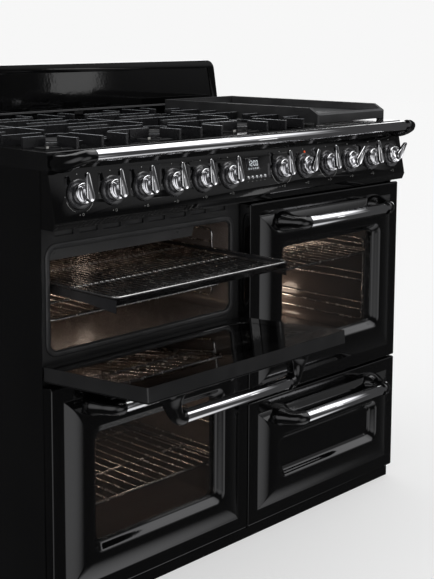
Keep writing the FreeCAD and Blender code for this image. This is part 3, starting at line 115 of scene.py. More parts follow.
# %% Floor, room and soft boxes
floor_mesh = bpy.data.meshes.new("floor")
bm = bmesh.new()
bmesh.ops.create_grid(bm, x_segments=1, y_segments=1, size=14)
bm.to_mesh(floor_mesh)
bm.free()
floor = bpy.data.objects.new("floor", floor_mesh)
bpy.context.scene.collection.objects.link(floor)
floor.visible_glossy = False
floor.visible_transmission = False

paper, sheet_net, white_sheet = new_material("studio_paper")
fill(sheet_net, white_sheet, {"Base Color": (0.45, 0.45, 0.45, 1), "Emission Color": (1, 1, 1, 1),
                              "Emission Strength": 0.47, "Roughness": 0.9, "Specular IOR Level": 0.0})
floor_mesh.materials.append(paper)

room = bpy.data.worlds.new("room")
bpy.context.scene.world = room
room.use_nodes = True
net = room.node_tree
net.nodes.clear()
seen = add_node(net, "LightPath")
ray_way = add_node(net, "TexCoord")["Generated"]
DARK_ROOM = 0.05
# Azimuth and height of the middle, inner and outer radius, all in degrees, then strength.
ROOM_GLOWS = ((-101, -14, 0, 32, 1.15), (-152, 4, 8, 36, 1.3), (-42, 52, 16, 37, 1.9),
              (-45, -64, 14, 34, 0.75), (-42, 15, 5, 21, 0.3))


def glow_from(azimuth, height, inner, outer, strength, below):
    """Add a soft round glow, in degrees, to the brightness below; returns the sum."""
    turn, rise = math.radians(azimuth), math.radians(height)
    level = math.cos(rise)
    middle = (level * math.cos(turn), level * math.sin(turn), math.sin(rise))
    towards = add_node(net, "VectorMath", {0: ray_way, 1: middle}, operation="DOT_PRODUCT")
    edge, core = math.cos(math.radians(outer)), math.cos(math.radians(inner))
    fall = add_node(net, "MapRange", {"Value": towards["Value"], "From Min": edge, "From Max": core,
                                      "To Min": 0.0, "To Max": strength}, interpolation_type="SMOOTHSTEP")
    return add_node(net, "Math", {0: fall["Result"], 1: below}, operation="ADD")["Value"]


def sky(shade, strength=1.0):
    """A plain sky."""
    return add_node(net, "Background", {"Color": (*shade, 1), "Strength": strength})[0]


shine = DARK_ROOM
for glow in ROOM_GLOWS:
    shine = glow_from(*glow, shine)
bounced = add_node(net, "Math", {0: seen["Is Glossy Ray"], 1: seen["Is Transmission Ray"]},
                   operation="MAXIMUM")["Value"]
by_gloss = add_node(net, "MixShader", {0: bounced, 1: sky((1.03, 1.03, 1.03)),
                                       2: sky((1.0, 1.0, 1.02), shine)})[0]
by_eye = add_node(net, "MixShader", {0: seen["Is Camera Ray"], 1: by_gloss,
                                     2: sky((0.93, 0.93, 0.93))})[0]
add_node(net, "OutputWorld", {0: by_eye})


def soft_box(name, place, aim, width, height, power):
    """A rectangular lamp at place that faces aim and is seen only in shiny surfaces."""
    data = bpy.data.lights.new(name, "AREA")
    data.shape = "RECTANGLE"
    data.size, data.size_y = width, height
    data.energy = power
    lamp = bpy.data.objects.new(name, data)
    lamp.visible_diffuse = False
    lamp.visible_camera = False
    away = Vector(place) - Vector(aim)
    lamp.matrix_world = Matrix.Translation(place) @ away.to_track_quat("Z", "Y").to_matrix().to_4x4()
    bpy.context.scene.collection.objects.link(lamp)


soft_box("over_hob", (0.2, 0.3, 2.9), (0, 0, 0.9), 2.6, 2.0, 36)
soft_box("low_right", (2.4, -2.55, 0.85), (0.0, 0.26, 0.95), 0.27, 0.42, 0.45)
soft_box("behind", (3.6, 3.4, 1.15), (0, 0, 0.9), 5.0, 1.5, 40)
bpy.context.scene.view_settings.view_transform = "Standard"
print("glows:", len(ROOM_GLOWS))

# %% [markdown]
# ## Finishes
# A finish is a small network: soft noise in Object coordinates varies the colour, a second
# noise the gloss, and a third the surface itself. One helper builds them all, because enamel,
# chrome, iron and wire differ only in how strong each part is.

# %% One helper for every finish
def colour_ramp(tree, factor, places, shades):
    """A factor turned into a colour between two shades."""
    ramp = tree.nodes.new("ShaderNodeValToRGB")
    fill(tree, ramp, {"Fac": factor})
    for stop, spot, shade in zip(ramp.color_ramp.elements, places, shades):
        stop.position = spot
        stop.color = (*shade, 1)
    return ramp.outputs["Color"]


def mixed(tree, factor, under, shade):
    """A colour turned to another shade by a factor."""
    return add_node(tree, "Mix", data_type="RGBA",
                    inputs={"Factor": factor, "A": under, "B": (*shade, 1)})["Result"]


def finish(name, colour, second, blotch, gloss, metal=0.0, ripple=0.0, ripple_size=200.0,
           fleck=None, coat=0.0):
    """Colour drifts to second over blotches, gloss is (low, high) roughness, ripple is bump."""
    material, tree, shader = new_material(name)
    place = add_node(tree, "TexCoord")["Object"]

    def noise(size, detail):
        """Soft noise with size cells to the metre."""
        return add_node(tree, "TexNoise", {"Vector": place, "Scale": size, "Detail": detail})["Fac"]

    base = colour_ramp(tree, noise(blotch, 3), (0.35, 0.68), (colour, second))
    if fleck:
        grain_size, threshold, grain_colour = fleck
        spots = colour_ramp(tree, noise(grain_size, 1), (threshold, threshold + 0.05),
                            ((0, 0, 0), (1, 1, 1)))
        base = mixed(tree, spots, base, grain_colour)
    rough = add_node(tree, "MapRange", {"Value": noise(blotch * 2.3, 4), "From Min": 0.3, "From Max": 0.7,
                                        "To Min": gloss[0], "To Max": gloss[1]})["Result"]
    fill(tree, shader, {"Base Color": base, "Roughness": rough, "Metallic": metal, "Coat Weight": coat,
                        "Coat Roughness": 0.03})
    if ripple:
        bump = add_node(tree, "Bump", {"Height": noise(ripple_size, 2), "Strength": ripple,
                                       "Distance": 0.001})
        fill(tree, shader, {"Normal": bump["Normal"]})
    return material


black_enamel = finish("black_enamel", (0.0011, 0.0011, 0.0012), (0.0018, 0.0018, 0.0019), 6,
                      (0.035, 0.07), ripple=0.05, ripple_size=140)
hob_enamel = finish("hob_enamel", (0.0018, 0.0018, 0.0019), (0.003, 0.003, 0.0032), 9,
                    (0.06, 0.14), ripple=0.06, ripple_size=320)
oven_enamel = finish("oven_enamel", (0.10, 0.079, 0.069), (0.135, 0.108, 0.095), 7, (0.10, 0.24),
                     ripple=0.12, ripple_size=260, fleck=(900, 0.64, (0.25, 0.24, 0.23)))
chrome = finish("chrome", (0.86, 0.86, 0.87), (0.80, 0.80, 0.82), 8, (0.02, 0.07), metal=1.0)
black_chrome = finish("black_chrome", (0.02, 0.02, 0.022), (0.03, 0.03, 0.032), 14, (0.05, 0.12),
                      coat=0.6)
wire_steel = finish("wire_steel", (0.62, 0.61, 0.60), (0.45, 0.44, 0.43), 24, (0.14, 0.32), metal=1.0,
                    ripple=0.1, ripple_size=700)
zinc_sheet = finish("zinc_sheet", (0.50, 0.51, 0.52), (0.36, 0.37, 0.39), 30, (0.3, 0.5), metal=1.0,
                    ripple=0.1, ripple_size=90)
edge_enamel = finish("edge_enamel", (0.008, 0.008, 0.0085), (0.012, 0.012, 0.0125), 12, (0.28, 0.4))
frame_enamel = finish("frame_enamel", (0.012, 0.012, 0.0125), (0.018, 0.018, 0.0185), 8, (0.3, 0.42))
black_iron = finish("black_iron", (0.006, 0.006, 0.007), (0.011, 0.011, 0.012), 16, (0.22, 0.32),
                    ripple=0.2, ripple_size=900)
plate_iron = finish("plate_iron", (0.016, 0.016, 0.017), (0.03, 0.03, 0.031), 11, (0.30, 0.5),
                    ripple=0.3, ripple_size=1200)
burner_alloy = finish("burner_alloy", (0.72, 0.72, 0.71), (0.55, 0.55, 0.55), 60, (0.22, 0.42),
                      metal=0.25, ripple=0.15, ripple_size=1500)
cap_enamel = finish("cap_enamel", (0.008, 0.008, 0.009), (0.02, 0.02, 0.022), 30, (0.3, 0.5),
                    ripple=0.2, ripple_size=900)
seal_rubber = finish("seal_rubber", (0.018, 0.018, 0.019), (0.034, 0.034, 0.035), 26, (0.32, 0.5),
                     ripple=0.3, ripple_size=500)
white_print = finish("white_print", (0.30, 0.30, 0.29), (0.22, 0.22, 0.215), 60, (0.35, 0.5))


def glowing(material, colour, strength):
    """Make a finish give off light of its own."""
    fill(material.node_tree, material.node_tree.nodes["Principled BSDF"],
         {"Emission Color": (*colour, 1), "Emission Strength": strength})


def painted_top_highlight(material, shade):
    """Faces that look up are painted paler: a painted highlight for the light from above."""
    tree = material.node_tree
    shader = tree.nodes["Principled BSDF"]
    under = shader.inputs["Base Color"].links[0].from_socket
    facing = add_node(tree, "NewGeometry")["Normal"]
    upward = add_node(tree, "SeparateXYZ", {"Vector": facing})["Z"]
    highlight_mask = add_node(tree, "MapRange", {"Value": upward, "From Min": 0.25, "From Max": 0.85})["Result"]
    fill(tree, shader, {"Base Color": mixed(tree, highlight_mask, under, shade)})


# Painted highlight: the tops of the pan supports and of the griddle plate are coloured paler, standing in
# for the light they mirror.
painted_top_highlight(black_iron, (0.36, 0.37, 0.39))
painted_top_highlight(plate_iron, (0.050, 0.051, 0.053))
print("finishes:", len(bpy.data.materials))

# %% [markdown]
# ## Glass
# Oven glass is tinted and coated, so it mirrors about a tenth of the light and lets the rest
# through a little darkened. A pane is thin, so refraction is left weak.

# %% Pane glass
def pane_glass(name, tint, gloss):
    """Clear tinted glass with a faint drift in its tint."""
    material, tree, shader = new_material(name)
    place = add_node(tree, "TexCoord")["Object"]
    drift = add_node(tree, "TexNoise", {"Vector": place, "Scale": 5.0})["Fac"]
    darker = [0.94 * part for part in tint]
    rough = add_node(tree, "MapRange", {"Value": drift, "To Min": gloss[0], "To Max": gloss[1]})["Result"]
    fill(tree, shader, {"Base Color": colour_ramp(tree, drift, (0, 1), (tint, darker)),
                        "Roughness": rough, "Transmission Weight": 1.0, "IOR": 1.45})
    return material


oven_glass = pane_glass("oven_glass", (0.72, 0.72, 0.71), (0.0, 0.02))
print("glass:", oven_glass.name)

# %% [markdown]
# ## Finishes on the solids
# Each solid keeps its shape where that is right, and only gets its finish.

# %% Which solid has which finish
ovens = ("upper_left", "lower_left", "right")
dressed = {
    black_enamel: ["plinth", "outer_panels", "control_panel", "backsplash", "towel_rail_ends",
                   "upper_left_door", "lower_left_door", "right_door", "drawer_front", "front_frame"],
    hob_enamel: ["hob_top"],
    oven_enamel: ["upper_left_cavity", "lower_left_cavity", "right_cavity", "fan_covers", "grill_tray"],
    wire_steel: ["shelf_runners", "tray_grid", "upper_left_rack", "lower_left_rack", "right_rack",
                 "door_hinges"],
    zinc_sheet: ["drawer_box", "supply_connections"],
    black_iron: ["left_pan_support", "middle_pan_support", "right_pan_support"],
    plate_iron: ["griddle"],
    burner_alloy: ["burner_bodies"],
    cap_enamel: ["burner_caps"],
    seal_rubber: ["oven_seals"],
    chrome: (["towel_rail", "drawer_handle", "drawer_handle_ends"]
             + [f"{oven}_door_handle" for oven in ovens]
             + [f"{oven}_door_handle_ends" for oven in ovens]
             + [f"knob_{count}" for count in range(1, 13)]
             + [f"button_{count}" for count in range(1, 6)]),
    oven_glass: [f"{oven}_door_glass" for oven in ovens],
}
for material, names in dressed.items():
    for name in names:
        mesh = nodes[name].data
        mesh.materials.clear()
        mesh.materials.append(material)
print("dressed:", sum(len(names) for names in dressed.values()))

# %% [markdown]
# ## Tools of the workshop
# Most pieces here are one of three kinds. Pressed fronts, trays and seals are a section that
# runs round a rectangle; knobs, bars and burners are turned; racks are bent wire. Each kind
# has one helper. A rounded rectangle is a plain face whose four corners are bevelled, and two
# of them are joined with a bridge, so the section follows the corners by itself.

# %% Making a piece out of a bmesh
MM = 0.001
WELD = 2e-6


def shift(across, deep, up):
    """A move in mm."""
    return Matrix.Translation(Vector((across, deep, up)) * MM)


def sized(wide, tall):
    """A flat thing of one unit made so many mm wide and tall."""
    return Matrix.Diagonal((wide * MM, tall * MM, 1, 1))


def enter(obj, body, replaces):
    """Put an object into the scene and on its body, and hide the solids it replaces."""
    bpy.context.scene.collection.objects.link(obj)
    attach(obj, body)
    if replaces:
        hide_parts(*replaces)


def piece(name, bm, material, body, replaces=(), sharp=35.0, place=None):
    """Finish a bmesh as an object on a body; angles under sharp degrees are shaded smooth."""
    bmesh.ops.remove_doubles(bm, verts=bm.verts, dist=WELD)
    bmesh.ops.recalc_face_normals(bm, faces=bm.faces)
    if place is not None:
        bm.transform(place)
    mesh = bpy.data.meshes.new(name)
    bm.to_mesh(mesh)
    bm.free()
    mesh.polygons.foreach_set("use_smooth", [True] * len(mesh.polygons))
    mesh.set_sharp_from_angle(angle=math.radians(sharp))
    mesh.materials.append(material)
    enter(bpy.data.objects.new(name, mesh), body, replaces)


def rounded_loop(bm, edges, corner, steps=7):
    """The rim of a flat rounded rectangle, made by bevelling the corners of a plain face."""
    left, right, low, high = edges
    flat = ((left, low, 0), (right, low, 0), (right, high, 0), (left, high, 0))
    corners = [bm.verts.new(spot) for spot in flat]
    bm.faces.new(corners)
    bmesh.ops.bevel(bm, geom=corners, offset=corner, offset_type="OFFSET", segments=steps,
                    profile=0.5, affect="VERTICES", material=-1, clamp_overlap=False)
    rim = list(bm.edges)
    bmesh.ops.delete(bm, geom=list(bm.faces), context="FACES_ONLY")
    return rim


def framed(bm, plane, edges, section, closed=False, cap_first=False, cap_last=False):
    """Run a section round a rectangle: each station is (inset, depth, corner) in mm."""
    middle = Vector(((edges[0] + edges[1]) / 2, (edges[2] + edges[3]) / 2))
    half = Vector(((edges[1] - edges[0]) / 2, (edges[3] - edges[2]) / 2))
    work = bmesh.new()
    rim = rounded_loop(work, (-1, 1, -1, 1), 0.5)
    spokes = {}
    for vert in {vert for edge in rim for vert in edge.verts}:
        quadrant = Vector((math.copysign(1, vert.co.x), math.copysign(1, vert.co.y)))
        spokes[vert] = (quadrant, (vert.co.xy - quadrant * 0.5) / 0.5)
    loop, last = rim, None
    for count, (inset, depth, corner) in enumerate(list(section) + ([section[0]] if closed else [])):
        if count:
            old = {tuple(vert.co): spoke for vert, spoke in spokes.items()}
            made = bmesh.ops.extrude_edge_only(work, edges=loop)["geom"]
            loop = [item for item in made if isinstance(item, bmesh.types.BMEdge)
                    and all(vert in made for vert in item.verts)]
            spokes = {vert: old[tuple(vert.co)] for edge in loop for vert in edge.verts}
        elif cap_first:
            bmesh.ops.contextual_create(work, geom=loop)
        size = half - Vector((inset, inset))
        radius = min(max(corner, 0.2), 0.999 * min(size))
        for vert, (quadrant, ray) in spokes.items():
            spot = Vector(((size.x - radius) * quadrant.x, (size.y - radius) * quadrant.y))
            vert.co.xy = middle + spot + ray * radius
            vert.co.z = depth
    if cap_last:
        bmesh.ops.contextual_create(work, geom=loop)
    stand = {"XY": Matrix.Identity(4),
             "XZ": Matrix(((1, 0, 0, 0), (0, 0, 1, 0), (0, 1, 0, 0), (0, 0, 0, 1)))}[plane]
    bmesh.ops.transform(work, matrix=Matrix.Diagonal((MM, MM, MM, 1)) @ stand, verts=work.verts)
    bmesh.ops.remove_doubles(work, verts=work.verts, dist=WELD)
    bmesh.ops.recalc_face_normals(work, faces=work.faces)
    part = bpy.data.meshes.new("part")
    work.to_mesh(part)
    work.free()
    bm.from_mesh(part)
    bpy.data.meshes.remove(part)


# %% Turning and boring
def turned(bm, outline, axis="Z", at=(0, 0, 0), steps=40):
    """Spin an outline of (radius, height) in mm about an axis through at."""
    spots = [bm.verts.new(Vector((radius, 0, height)) * MM) for radius, height in outline]
    edges = [bm.edges.new(pair) for pair in zip(spots, spots[1:])]
    made = bmesh.ops.spin(bm, geom=spots + edges, cent=(0, 0, 0), axis=(0, 0, 1), dvec=(0, 0, 0),
                          angle=2 * math.pi, steps=steps, use_merge=True, use_duplicate=False)
    turn = {"Z": Matrix.Identity(4), "X": Matrix.Rotation(math.pi / 2, 4, "Y"),
            "Y": Matrix.Rotation(-math.pi / 2, 4, "X"), "-Y": Matrix.Rotation(math.pi / 2, 4, "X")}[axis]
    new = list({vert for item in made["geom_last"] for vert in
                (item.verts if isinstance(item, bmesh.types.BMEdge) else [item])})
    found = set()
    walk = new + [spot for spot in spots if spot.is_valid]
    while walk:
        vert = walk.pop()
        if vert in found:
            continue
        found.add(vert)
        walk += [edge.other_vert(vert) for edge in vert.link_edges]
    place = Matrix.Translation(Vector(at) * MM) @ turn
    bmesh.ops.transform(bm, matrix=place, verts=list(found))
    return list(found)


# %% Bending wire
def wires(name, runs, radius, body, replaces=(), sides=2, material=wire_steel):
    """Round wires along runs; a run is (closed, bend radius, points) in mm."""
    data = bpy.data.curves.new(name, "CURVE")
    data.dimensions = "3D"
    data.bevel_depth = radius * MM
    data.bevel_resolution = sides
    data.resolution_u = 5
    data.use_fill_caps = True
    for closed, bend, points in runs:
        points = [Vector(point) * MM for point in points]
        stations = []
        for count, point in enumerate(points):
            if not closed and count in (0, len(points) - 1):
                stations.append((point, point, point))
                continue
            back = (points[count - 1] - point).normalized()
            ahead = (points[(count + 1) % len(points)] - point).normalized()
            cut, pull = bend * MM, bend * MM * 0.45
            stations.append((point + back * cut, point + back * cut, point + back * pull))
            stations.append((point + ahead * cut, point + ahead * pull, point + ahead * cut))
        line = data.splines.new("BEZIER")
        line.bezier_points.add(len(stations) - 1)
        line.use_cyclic_u = closed
        for knot, (spot, left, right) in zip(line.bezier_points, stations):
            knot.handle_left_type = knot.handle_right_type = "FREE"
            knot.co, knot.handle_left, knot.handle_right = spot, left, right
    data.materials.append(material)
    enter(bpy.data.objects.new(name, data), body, replaces)


# %% [markdown]
# ## Doors
# Each door is a pressed steel shell: a flat border, a slope with mitred corners up to a
# rounded crest, a soft fall to the window, and behind it a recess that takes two panes. All of
# it is one section round the window. The grill oven's door is the same thing, turned open.

# %% The section of a pressed front
FRONT, HINGE_Y = -300.0, -290.0
DOORS = {"upper_left": (-547.5, -1.5, 471.0, 750.0, 85.6), "lower_left": (-547.5, -1.5, 30.0, 462.0, 0.0),
         "right": (1.5, 547.5, 315.0, 750.0, 0.0), "drawer": (1.5, 547.5, 30.0, 310.5, 0.0)}
HINGE_RISE = 11.0


def door_place(name):
    """The turn of a door about its hinge line, as it stands in the picture."""
    low, turn = DOORS[name][2], DOORS[name][4]
    pin = Vector((0, HINGE_Y, low + HINGE_RISE)) * MM
    return (Matrix.Translation(pin) @ Matrix.Rotation(math.radians(turn), 4, "X")
            @ Matrix.Translation(-pin))


def ring_section(face, window):
    """From the flat border over the mitred slope and the crest to the window or the panel."""
    stations = [(0.0, face + 30.0, 3.0), (0.0, face + 3.0, 3.0), (0.9, face + 0.9, 3.0),
                (3.0, face, 3.0), (4.0, face, 3.0), (28.0, face, 1.0)]
    foot, crest, lip, rise = 30.0, 80.0, 88.0, 15.0
    crest_corner, window_corner = 22.0, 18.0
    for part in (0.0, 0.05, 0.14, 0.28, 0.44, 0.6, 0.75, 0.88, 1.0):
        climb = math.sin(0.5 * math.pi * part) ** 0.92
        stations.append((foot + (crest - foot) * part, face - rise * climb,
                         1.0 + crest_corner * max(0.0, part - 0.3) / 0.7))
    for part in (0.0, 0.08, 0.2, 0.34, 0.5, 0.66, 0.8, 0.92, 1.0):
        fall = 0.5 + 0.5 * math.cos(math.pi * part)
        stations.append((lip + (window - lip) * part, face - rise * fall,
                         crest_corner + (window_corner - crest_corner) * part))
    return stations


def door_shell(name):
    """The shell of an oven door with its window and its seat for the panes."""
    section = ring_section(FRONT, 106.0)
    section += [(106.6, FRONT + 0.8, 17.5), (106.6, FRONT + 4.0, 17.5), (98.0, FRONT + 4.0, 18.0),
                (98.0, FRONT + 25.5, 18.0), (40.0, FRONT + 25.5, 18.0), (40.0, FRONT + 29.2, 18.0),
                (39.2, FRONT + 30.0, 18.0)]
    bm = bmesh.new()
    framed(bm, "XZ", DOORS[name][:4], section, closed=True)
    piece(f"{name}_shell", bm, black_enamel, f"{name}_door_assembly",
          [f"{name}_door"], place=door_place(name))


def rim_band(name, body):
    """The satin edge that closes a pressed front all round."""
    band = bmesh.new()
    framed(band, "XZ", DOORS[name][:4], [(-0.12, FRONT + 29.6, 3.1), (-0.12, FRONT + 4.0, 3.1),
                                         (0.3, FRONT + 3.9, 3.0), (0.3, FRONT + 29.7, 3.0)], closed=True)
    piece(f"{name}_rim_band", band, edge_enamel, body, place=door_place(name))


for oven in ovens:
    door_shell(oven)
rim_band("upper_left", "upper_left_door_assembly")
drawer_bm = bmesh.new()
framed(drawer_bm, "XZ", DOORS["drawer"][:4],
       ring_section(FRONT, 104.0) + [(106.0, FRONT + 1.6, 17.0), (109.0, FRONT + 2.0, 15.0)],
       cap_first=True, cap_last=True)
piece("drawer_shell", drawer_bm, black_enamel, "storage_drawer", ["drawer_front"])
print("shells:", len(DOORS))

# %% [markdown]
# ## Handles
# The bar is a polished tube. Its ends are black horns: an oval foot on the slope of the door
# that bends over into a sleeve round the bar. A horn is a row of ellipses along a bend, joined
# by bridges, and the sleeve's rim is rolled.

# %% Bars and horns
HANDLE_DROP, HANDLE_OUT, BAR_INSET, BAR_RADIUS = 47.0, 55.5, 121.0, 12.5


def bent_horn(bm, stations, steps=28):
    """Join ellipses: each station is (centre, outward normal, half width, half height) in mm."""
    loops = []
    for centre, normal, wide, tall in stations:
        made = bmesh.ops.create_circle(bm, cap_ends=False, segments=steps, radius=1.0)
        normal = Vector(normal).normalized()
        side = Vector((0, 0, 1)).cross(normal).normalized()
        turn = Matrix((side, Vector((0, 0, 1)), normal)).transposed().to_4x4()
        stretch = sized(wide, tall)
        bmesh.ops.transform(bm, matrix=Matrix.Translation(Vector(centre) * MM) @ turn @ stretch,
                            verts=made["verts"])
        loops.append(list({edge for vert in made["verts"] for edge in vert.link_edges}))
    for near, far in zip(loops, loops[1:]):
        bmesh.ops.bridge_loops(bm, edges=near + far)
    for loop in (loops[0], loops[-1]):
        bmesh.ops.contextual_create(bm, geom=loop)


def handle_horns(name):
    """Both horns of one door handle, the left one and its mirror image."""
    left, right, _low, high, _turn = DOORS[name]
    up = high - HANDLE_DROP
    bm = bmesh.new()
    for edge, way in ((left, 1), (right, -1)):
        def at(inward, out):
            """A place measured from the door's side edge and its front."""
            return (edge + way * inward, FRONT - out, up)
        bent_horn(bm, [
            (at(102, -2), (way * 0.10, -1, 0), 31, 25), (at(102, 8), (way * 0.12, -1, 0), 30.5, 24.5),
            (at(102.5, 14), (way * 0.2, -1, 0), 28, 22.5), (at(103, 22), (way * 0.35, -1, 0), 22, 18.5),
            (at(104.5, 33), (way * 0.55, -1, 0), 18, 16), (at(107, 43), (way * 0.9, -0.9, 0), 16, 15),
            (at(111, 50.5), (way, -0.45, 0), 15, 15), (at(116, 54.5), (way, -0.12, 0), 14.8, 14.8)]
            + [(at(inward, HANDLE_OUT), (way, 0, 0), wide, wide)
               for inward, wide in ((121.5, 14.6), (125, 14.9), (127, 14.4), (127.4, 12.6))])
    body = "storage_drawer" if name == "drawer" else f"{name}_door_assembly"
    stem = "drawer" if name == "drawer" else f"{name}_door"
    piece(f"{stem}_horns", bm, black_enamel, body, [f"{stem}_handle_ends"],
          place=door_place(name))
    bar = bmesh.new()
    length = right - left - 2 * BAR_INSET
    turned(bar, [(0, 0), (BAR_RADIUS - 0.2, 0), (BAR_RADIUS, 0.4), (BAR_RADIUS, length - 0.4),
                 (BAR_RADIUS - 0.2, length), (0, length)], "X",
           (left + BAR_INSET, FRONT - HANDLE_OUT, up), steps=48)
    piece(f"{stem}_bar", bar, chrome, body, [f"{stem}_handle"],
          place=door_place(name))


for name in DOORS:
    handle_horns(name)
print("handles:", len(DOORS))

# %% [markdown]
# ## Knobs
# A knob is a chromed casting: a dished disc with a rolled rim and a tall drop-shaped lever
# across it. It stands on a black bezel, and white dots and arcs round it give the settings.
# One knob is built flat, with its lever up, and then placed on the sloping fascia.

# %% The frame of the fascia
LEAN = math.radians(11.43)
FASCIA_TOP = Vector((0, -299.0, 866.0)) * MM
FASCIA = Matrix.Translation(FASCIA_TOP) @ Matrix.Rotation(math.pi / 2 - LEAN, 4, "X")
KNOB_PITCH = 81.6
KNOB_SPOTS = [start + KNOB_PITCH * step for start in (-482, 92) for step in range(6)]
KNOB_DROP, BEZEL_TOP = -48.0, 5.0
KEY_START, KEY_PITCH = -20, 13.25
TURNED = {8: 30, 10: 45, 12: 50}


def on_fascia(across, up, proud=0.0, turn=0.0):
    """Place of a piece on the fascia: across and up in mm from the middle of its top edge."""
    return (FASCIA @ shift(across, up, proud)
            @ Matrix.Rotation(math.radians(-turn), 4, "Z"))


# %% A knob
def knob_body(bm):
    """The disc with its dished face and the drop-shaped lever across it."""
    turned(bm, [(0, 0.3), (18.2, 0.3), (19.6, 1.0), (20.0, 2.6), (20.0, 9.4), (19.5, 11.6), (18.3, 12.4),
                (17.2, 12.2), (16.2, 11.2), (13.0, 9.0), (8.0, 7.6), (0, 7.2)], steps=56)
    neck = bmesh.ops.create_circle(bm, cap_ends=True, segments=28, radius=MM)["verts"]
    bmesh.ops.transform(bm, matrix=shift(0, -2.5, 6.5)
                        @ Matrix.Diagonal((7.5, 14.0, 1, 1)), verts=neck)
    plate = [bm.verts.new(Vector((3.5 * math.cos(turn), 33.0 + 3.5 * math.sin(turn), 20.8)) * MM)
             for turn in (math.pi * step / 9 for step in range(10))]
    plate += [bm.verts.new(Vector((8.4 * math.cos(turn), -7.5 + 9.6 * math.sin(turn), 20.8)) * MM)
              for turn in (math.pi * (1 + step / 11) for step in range(12))]
    for rim, rises in ((neck, ((5.0, 0.72, 0.92), (5.0, 0.82, 1.0), (5.0, 1.3, 1.1))),
                       (plate, ((0.7, 1.1, 1.015), (5.6, 0.97, 0.995), (0.8, 0.93, 0.985),
                                (0.35, 0.82, 0.965), (-0.5, 0.74, 0.95)))):
        face = bm.faces.new(rim) if rim is plate else rim[0].link_faces[0]
        for rise, narrow, shorten in rises:
            first = rise == rises[0][0]
            made = bmesh.ops.extrude_face_region(bm, geom=[face], use_keep_orig=first)["geom"]
            face = next(item for item in made if isinstance(item, bmesh.types.BMFace))
            middle = face.calc_center_bounds()
            for vert in face.verts:
                vert.co.z += rise * MM
                vert.co.x *= narrow
                vert.co.y = middle.y + (vert.co.y - middle.y) * shorten


for number, across in enumerate(KNOB_SPOTS, 1):
    bm = bmesh.new()
    knob_body(bm)
    piece(f"knob_casting_{number}", bm, chrome, f"control_{number}",
          [f"knob_{number}"], sharp=50,
          place=on_fascia(across, KNOB_DROP, BEZEL_TOP, TURNED.get(number, 0)))
print("knobs:", len(KNOB_SPOTS))

# %% Bezels and spindles
bezels = bmesh.new()
for across in KNOB_SPOTS:
    ring = turned(bezels, [(26.9, -0.5), (28.6, -0.5), (28.9, 1.2), (28.3, 4.2), (26.8, 5.6), (24.6, 5.7),
                           (22.6, 5.1), (14.0, 5.1), (3.4, 5.1), (3.4, -0.5), (26.9, -0.5)], steps=56)
    bmesh.ops.transform(bezels, matrix=on_fascia(across, KNOB_DROP), verts=ring)
piece("knob_bezels", bezels, black_chrome, "cooker")

# %% [markdown]
# ## Printed marks
# The fascia carries plain white marks fired into the enamel: a dot over each knob, small
# signs below, and a ring segment that grows round the thermostat knobs. They are flat discs
# and arcs that lie a tenth of a millimetre proud of the fascia.

# %% Dots, arcs and signs
PROUD = 0.12


def printed_disc(bm, across, up, radius):
    """A flat dot."""
    made = bmesh.ops.create_circle(bm, cap_ends=True, segments=18, radius=radius * MM)
    bmesh.ops.transform(bm, matrix=shift(across, up, PROUD), verts=made["verts"])


def printed_arc(bm, across, up, radius, start, end, wide, wide_end=None):
    """A flat arc between two angles, in degrees clockwise from the top."""
    count = max(3, int(abs(end - start) / 7))
    rows = []
    for step in range(count + 1):
        part = step / count
        angle = math.radians(start + (end - start) * part)
        half = 0.5 * (wide + ((wide_end or wide) - wide) * part)
        ray = Vector((math.sin(angle), math.cos(angle), 0))
        rows.append([bm.verts.new((Vector((across, up, PROUD)) + ray * out) * MM)
                     for out in (radius - half, radius + half)])
    edges = [bm.edges.new(row) for row in rows]
    for near, far in zip(edges, edges[1:]):
        bmesh.ops.contextual_create(bm, geom=[near, far])


def printed_bar(bm, across, up, wide, tall):
    """A flat bar."""
    made = bmesh.ops.create_grid(bm, x_segments=1, y_segments=1, size=0.5)
    place = shift(across, up, PROUD)
    bmesh.ops.transform(bm, matrix=place @ sized(wide, tall), verts=made["verts"])


marks = bmesh.new()
for count, across in enumerate(KNOB_SPOTS):
    printed_disc(marks, across, KNOB_DROP + 37.5, 1.15)
    if count in (0, 6, 8):
        printed_arc(marks, across, KNOB_DROP, 34.5, 205, 250, 0.25, 0.9)
        printed_arc(marks, across, KNOB_DROP, 34.5, 110, 160, 0.9, 0.25)
    printed_disc(marks, across - 5, KNOB_DROP - 37.5, 0.9)
    printed_arc(marks, across + 3, KNOB_DROP - 37.5, 2.2, 0, 360, 0.45)
    printed_disc(marks, across - 34.5, KNOB_DROP - 2, 0.8)
    if count > 5:
        printed_disc(marks, across + 28, KNOB_DROP + 24, 0.6)
for step in range(5):
    printed_bar(marks, KEY_START + KEY_PITCH * step, -66.5, 3.2, 0.6)
piece("fascia_marks", marks, white_print, "cooker", place=FASCIA)
print("marks printed")

# %% [markdown]
# ## Clock, keys and lamp
# The clock is a dark glass window with pale digits of seven bars, five chromed keys under it
# and a small red lamp on its right. The time is plain numbers.

# %% Clock window, digits, keys and lamp
clock_glass = finish("clock_glass", (0.004, 0.004, 0.005), (0.008, 0.008, 0.010), 20, (0.02, 0.06),
                     coat=0.5)
window = bmesh.new()
framed(window, "XY", (-20.8, 22.8, -43.8, -17.2),
       [(0, -0.9, 2.4), (0, 0.3, 2.4), (0.7, 0.9, 2.2), (1.6, 0.5, 1.8)], cap_first=True, cap_last=True)
piece("clock_window", window, clock_glass, "cooker", place=FASCIA)
lit = finish("clock_light", (0.75, 0.78, 0.80), (0.65, 0.70, 0.74), 30, (0.4, 0.5))
glowing(lit, (0.8, 0.88, 0.95), 0.55)
SEGMENTS = {"0": "abcdef", "1": "bc", "2": "abged"}
BARS = {"a": (0, 5.2, 4, 1), "b": (2.4, 2.6, 1, 4), "c": (2.4, -2.6, 1, 4), "d": (0, -5.2, 4, 1),
        "e": (-2.4, -2.6, 1, 4), "f": (-2.4, 2.6, 1, 4), "g": (0, 0, 4, 1)}
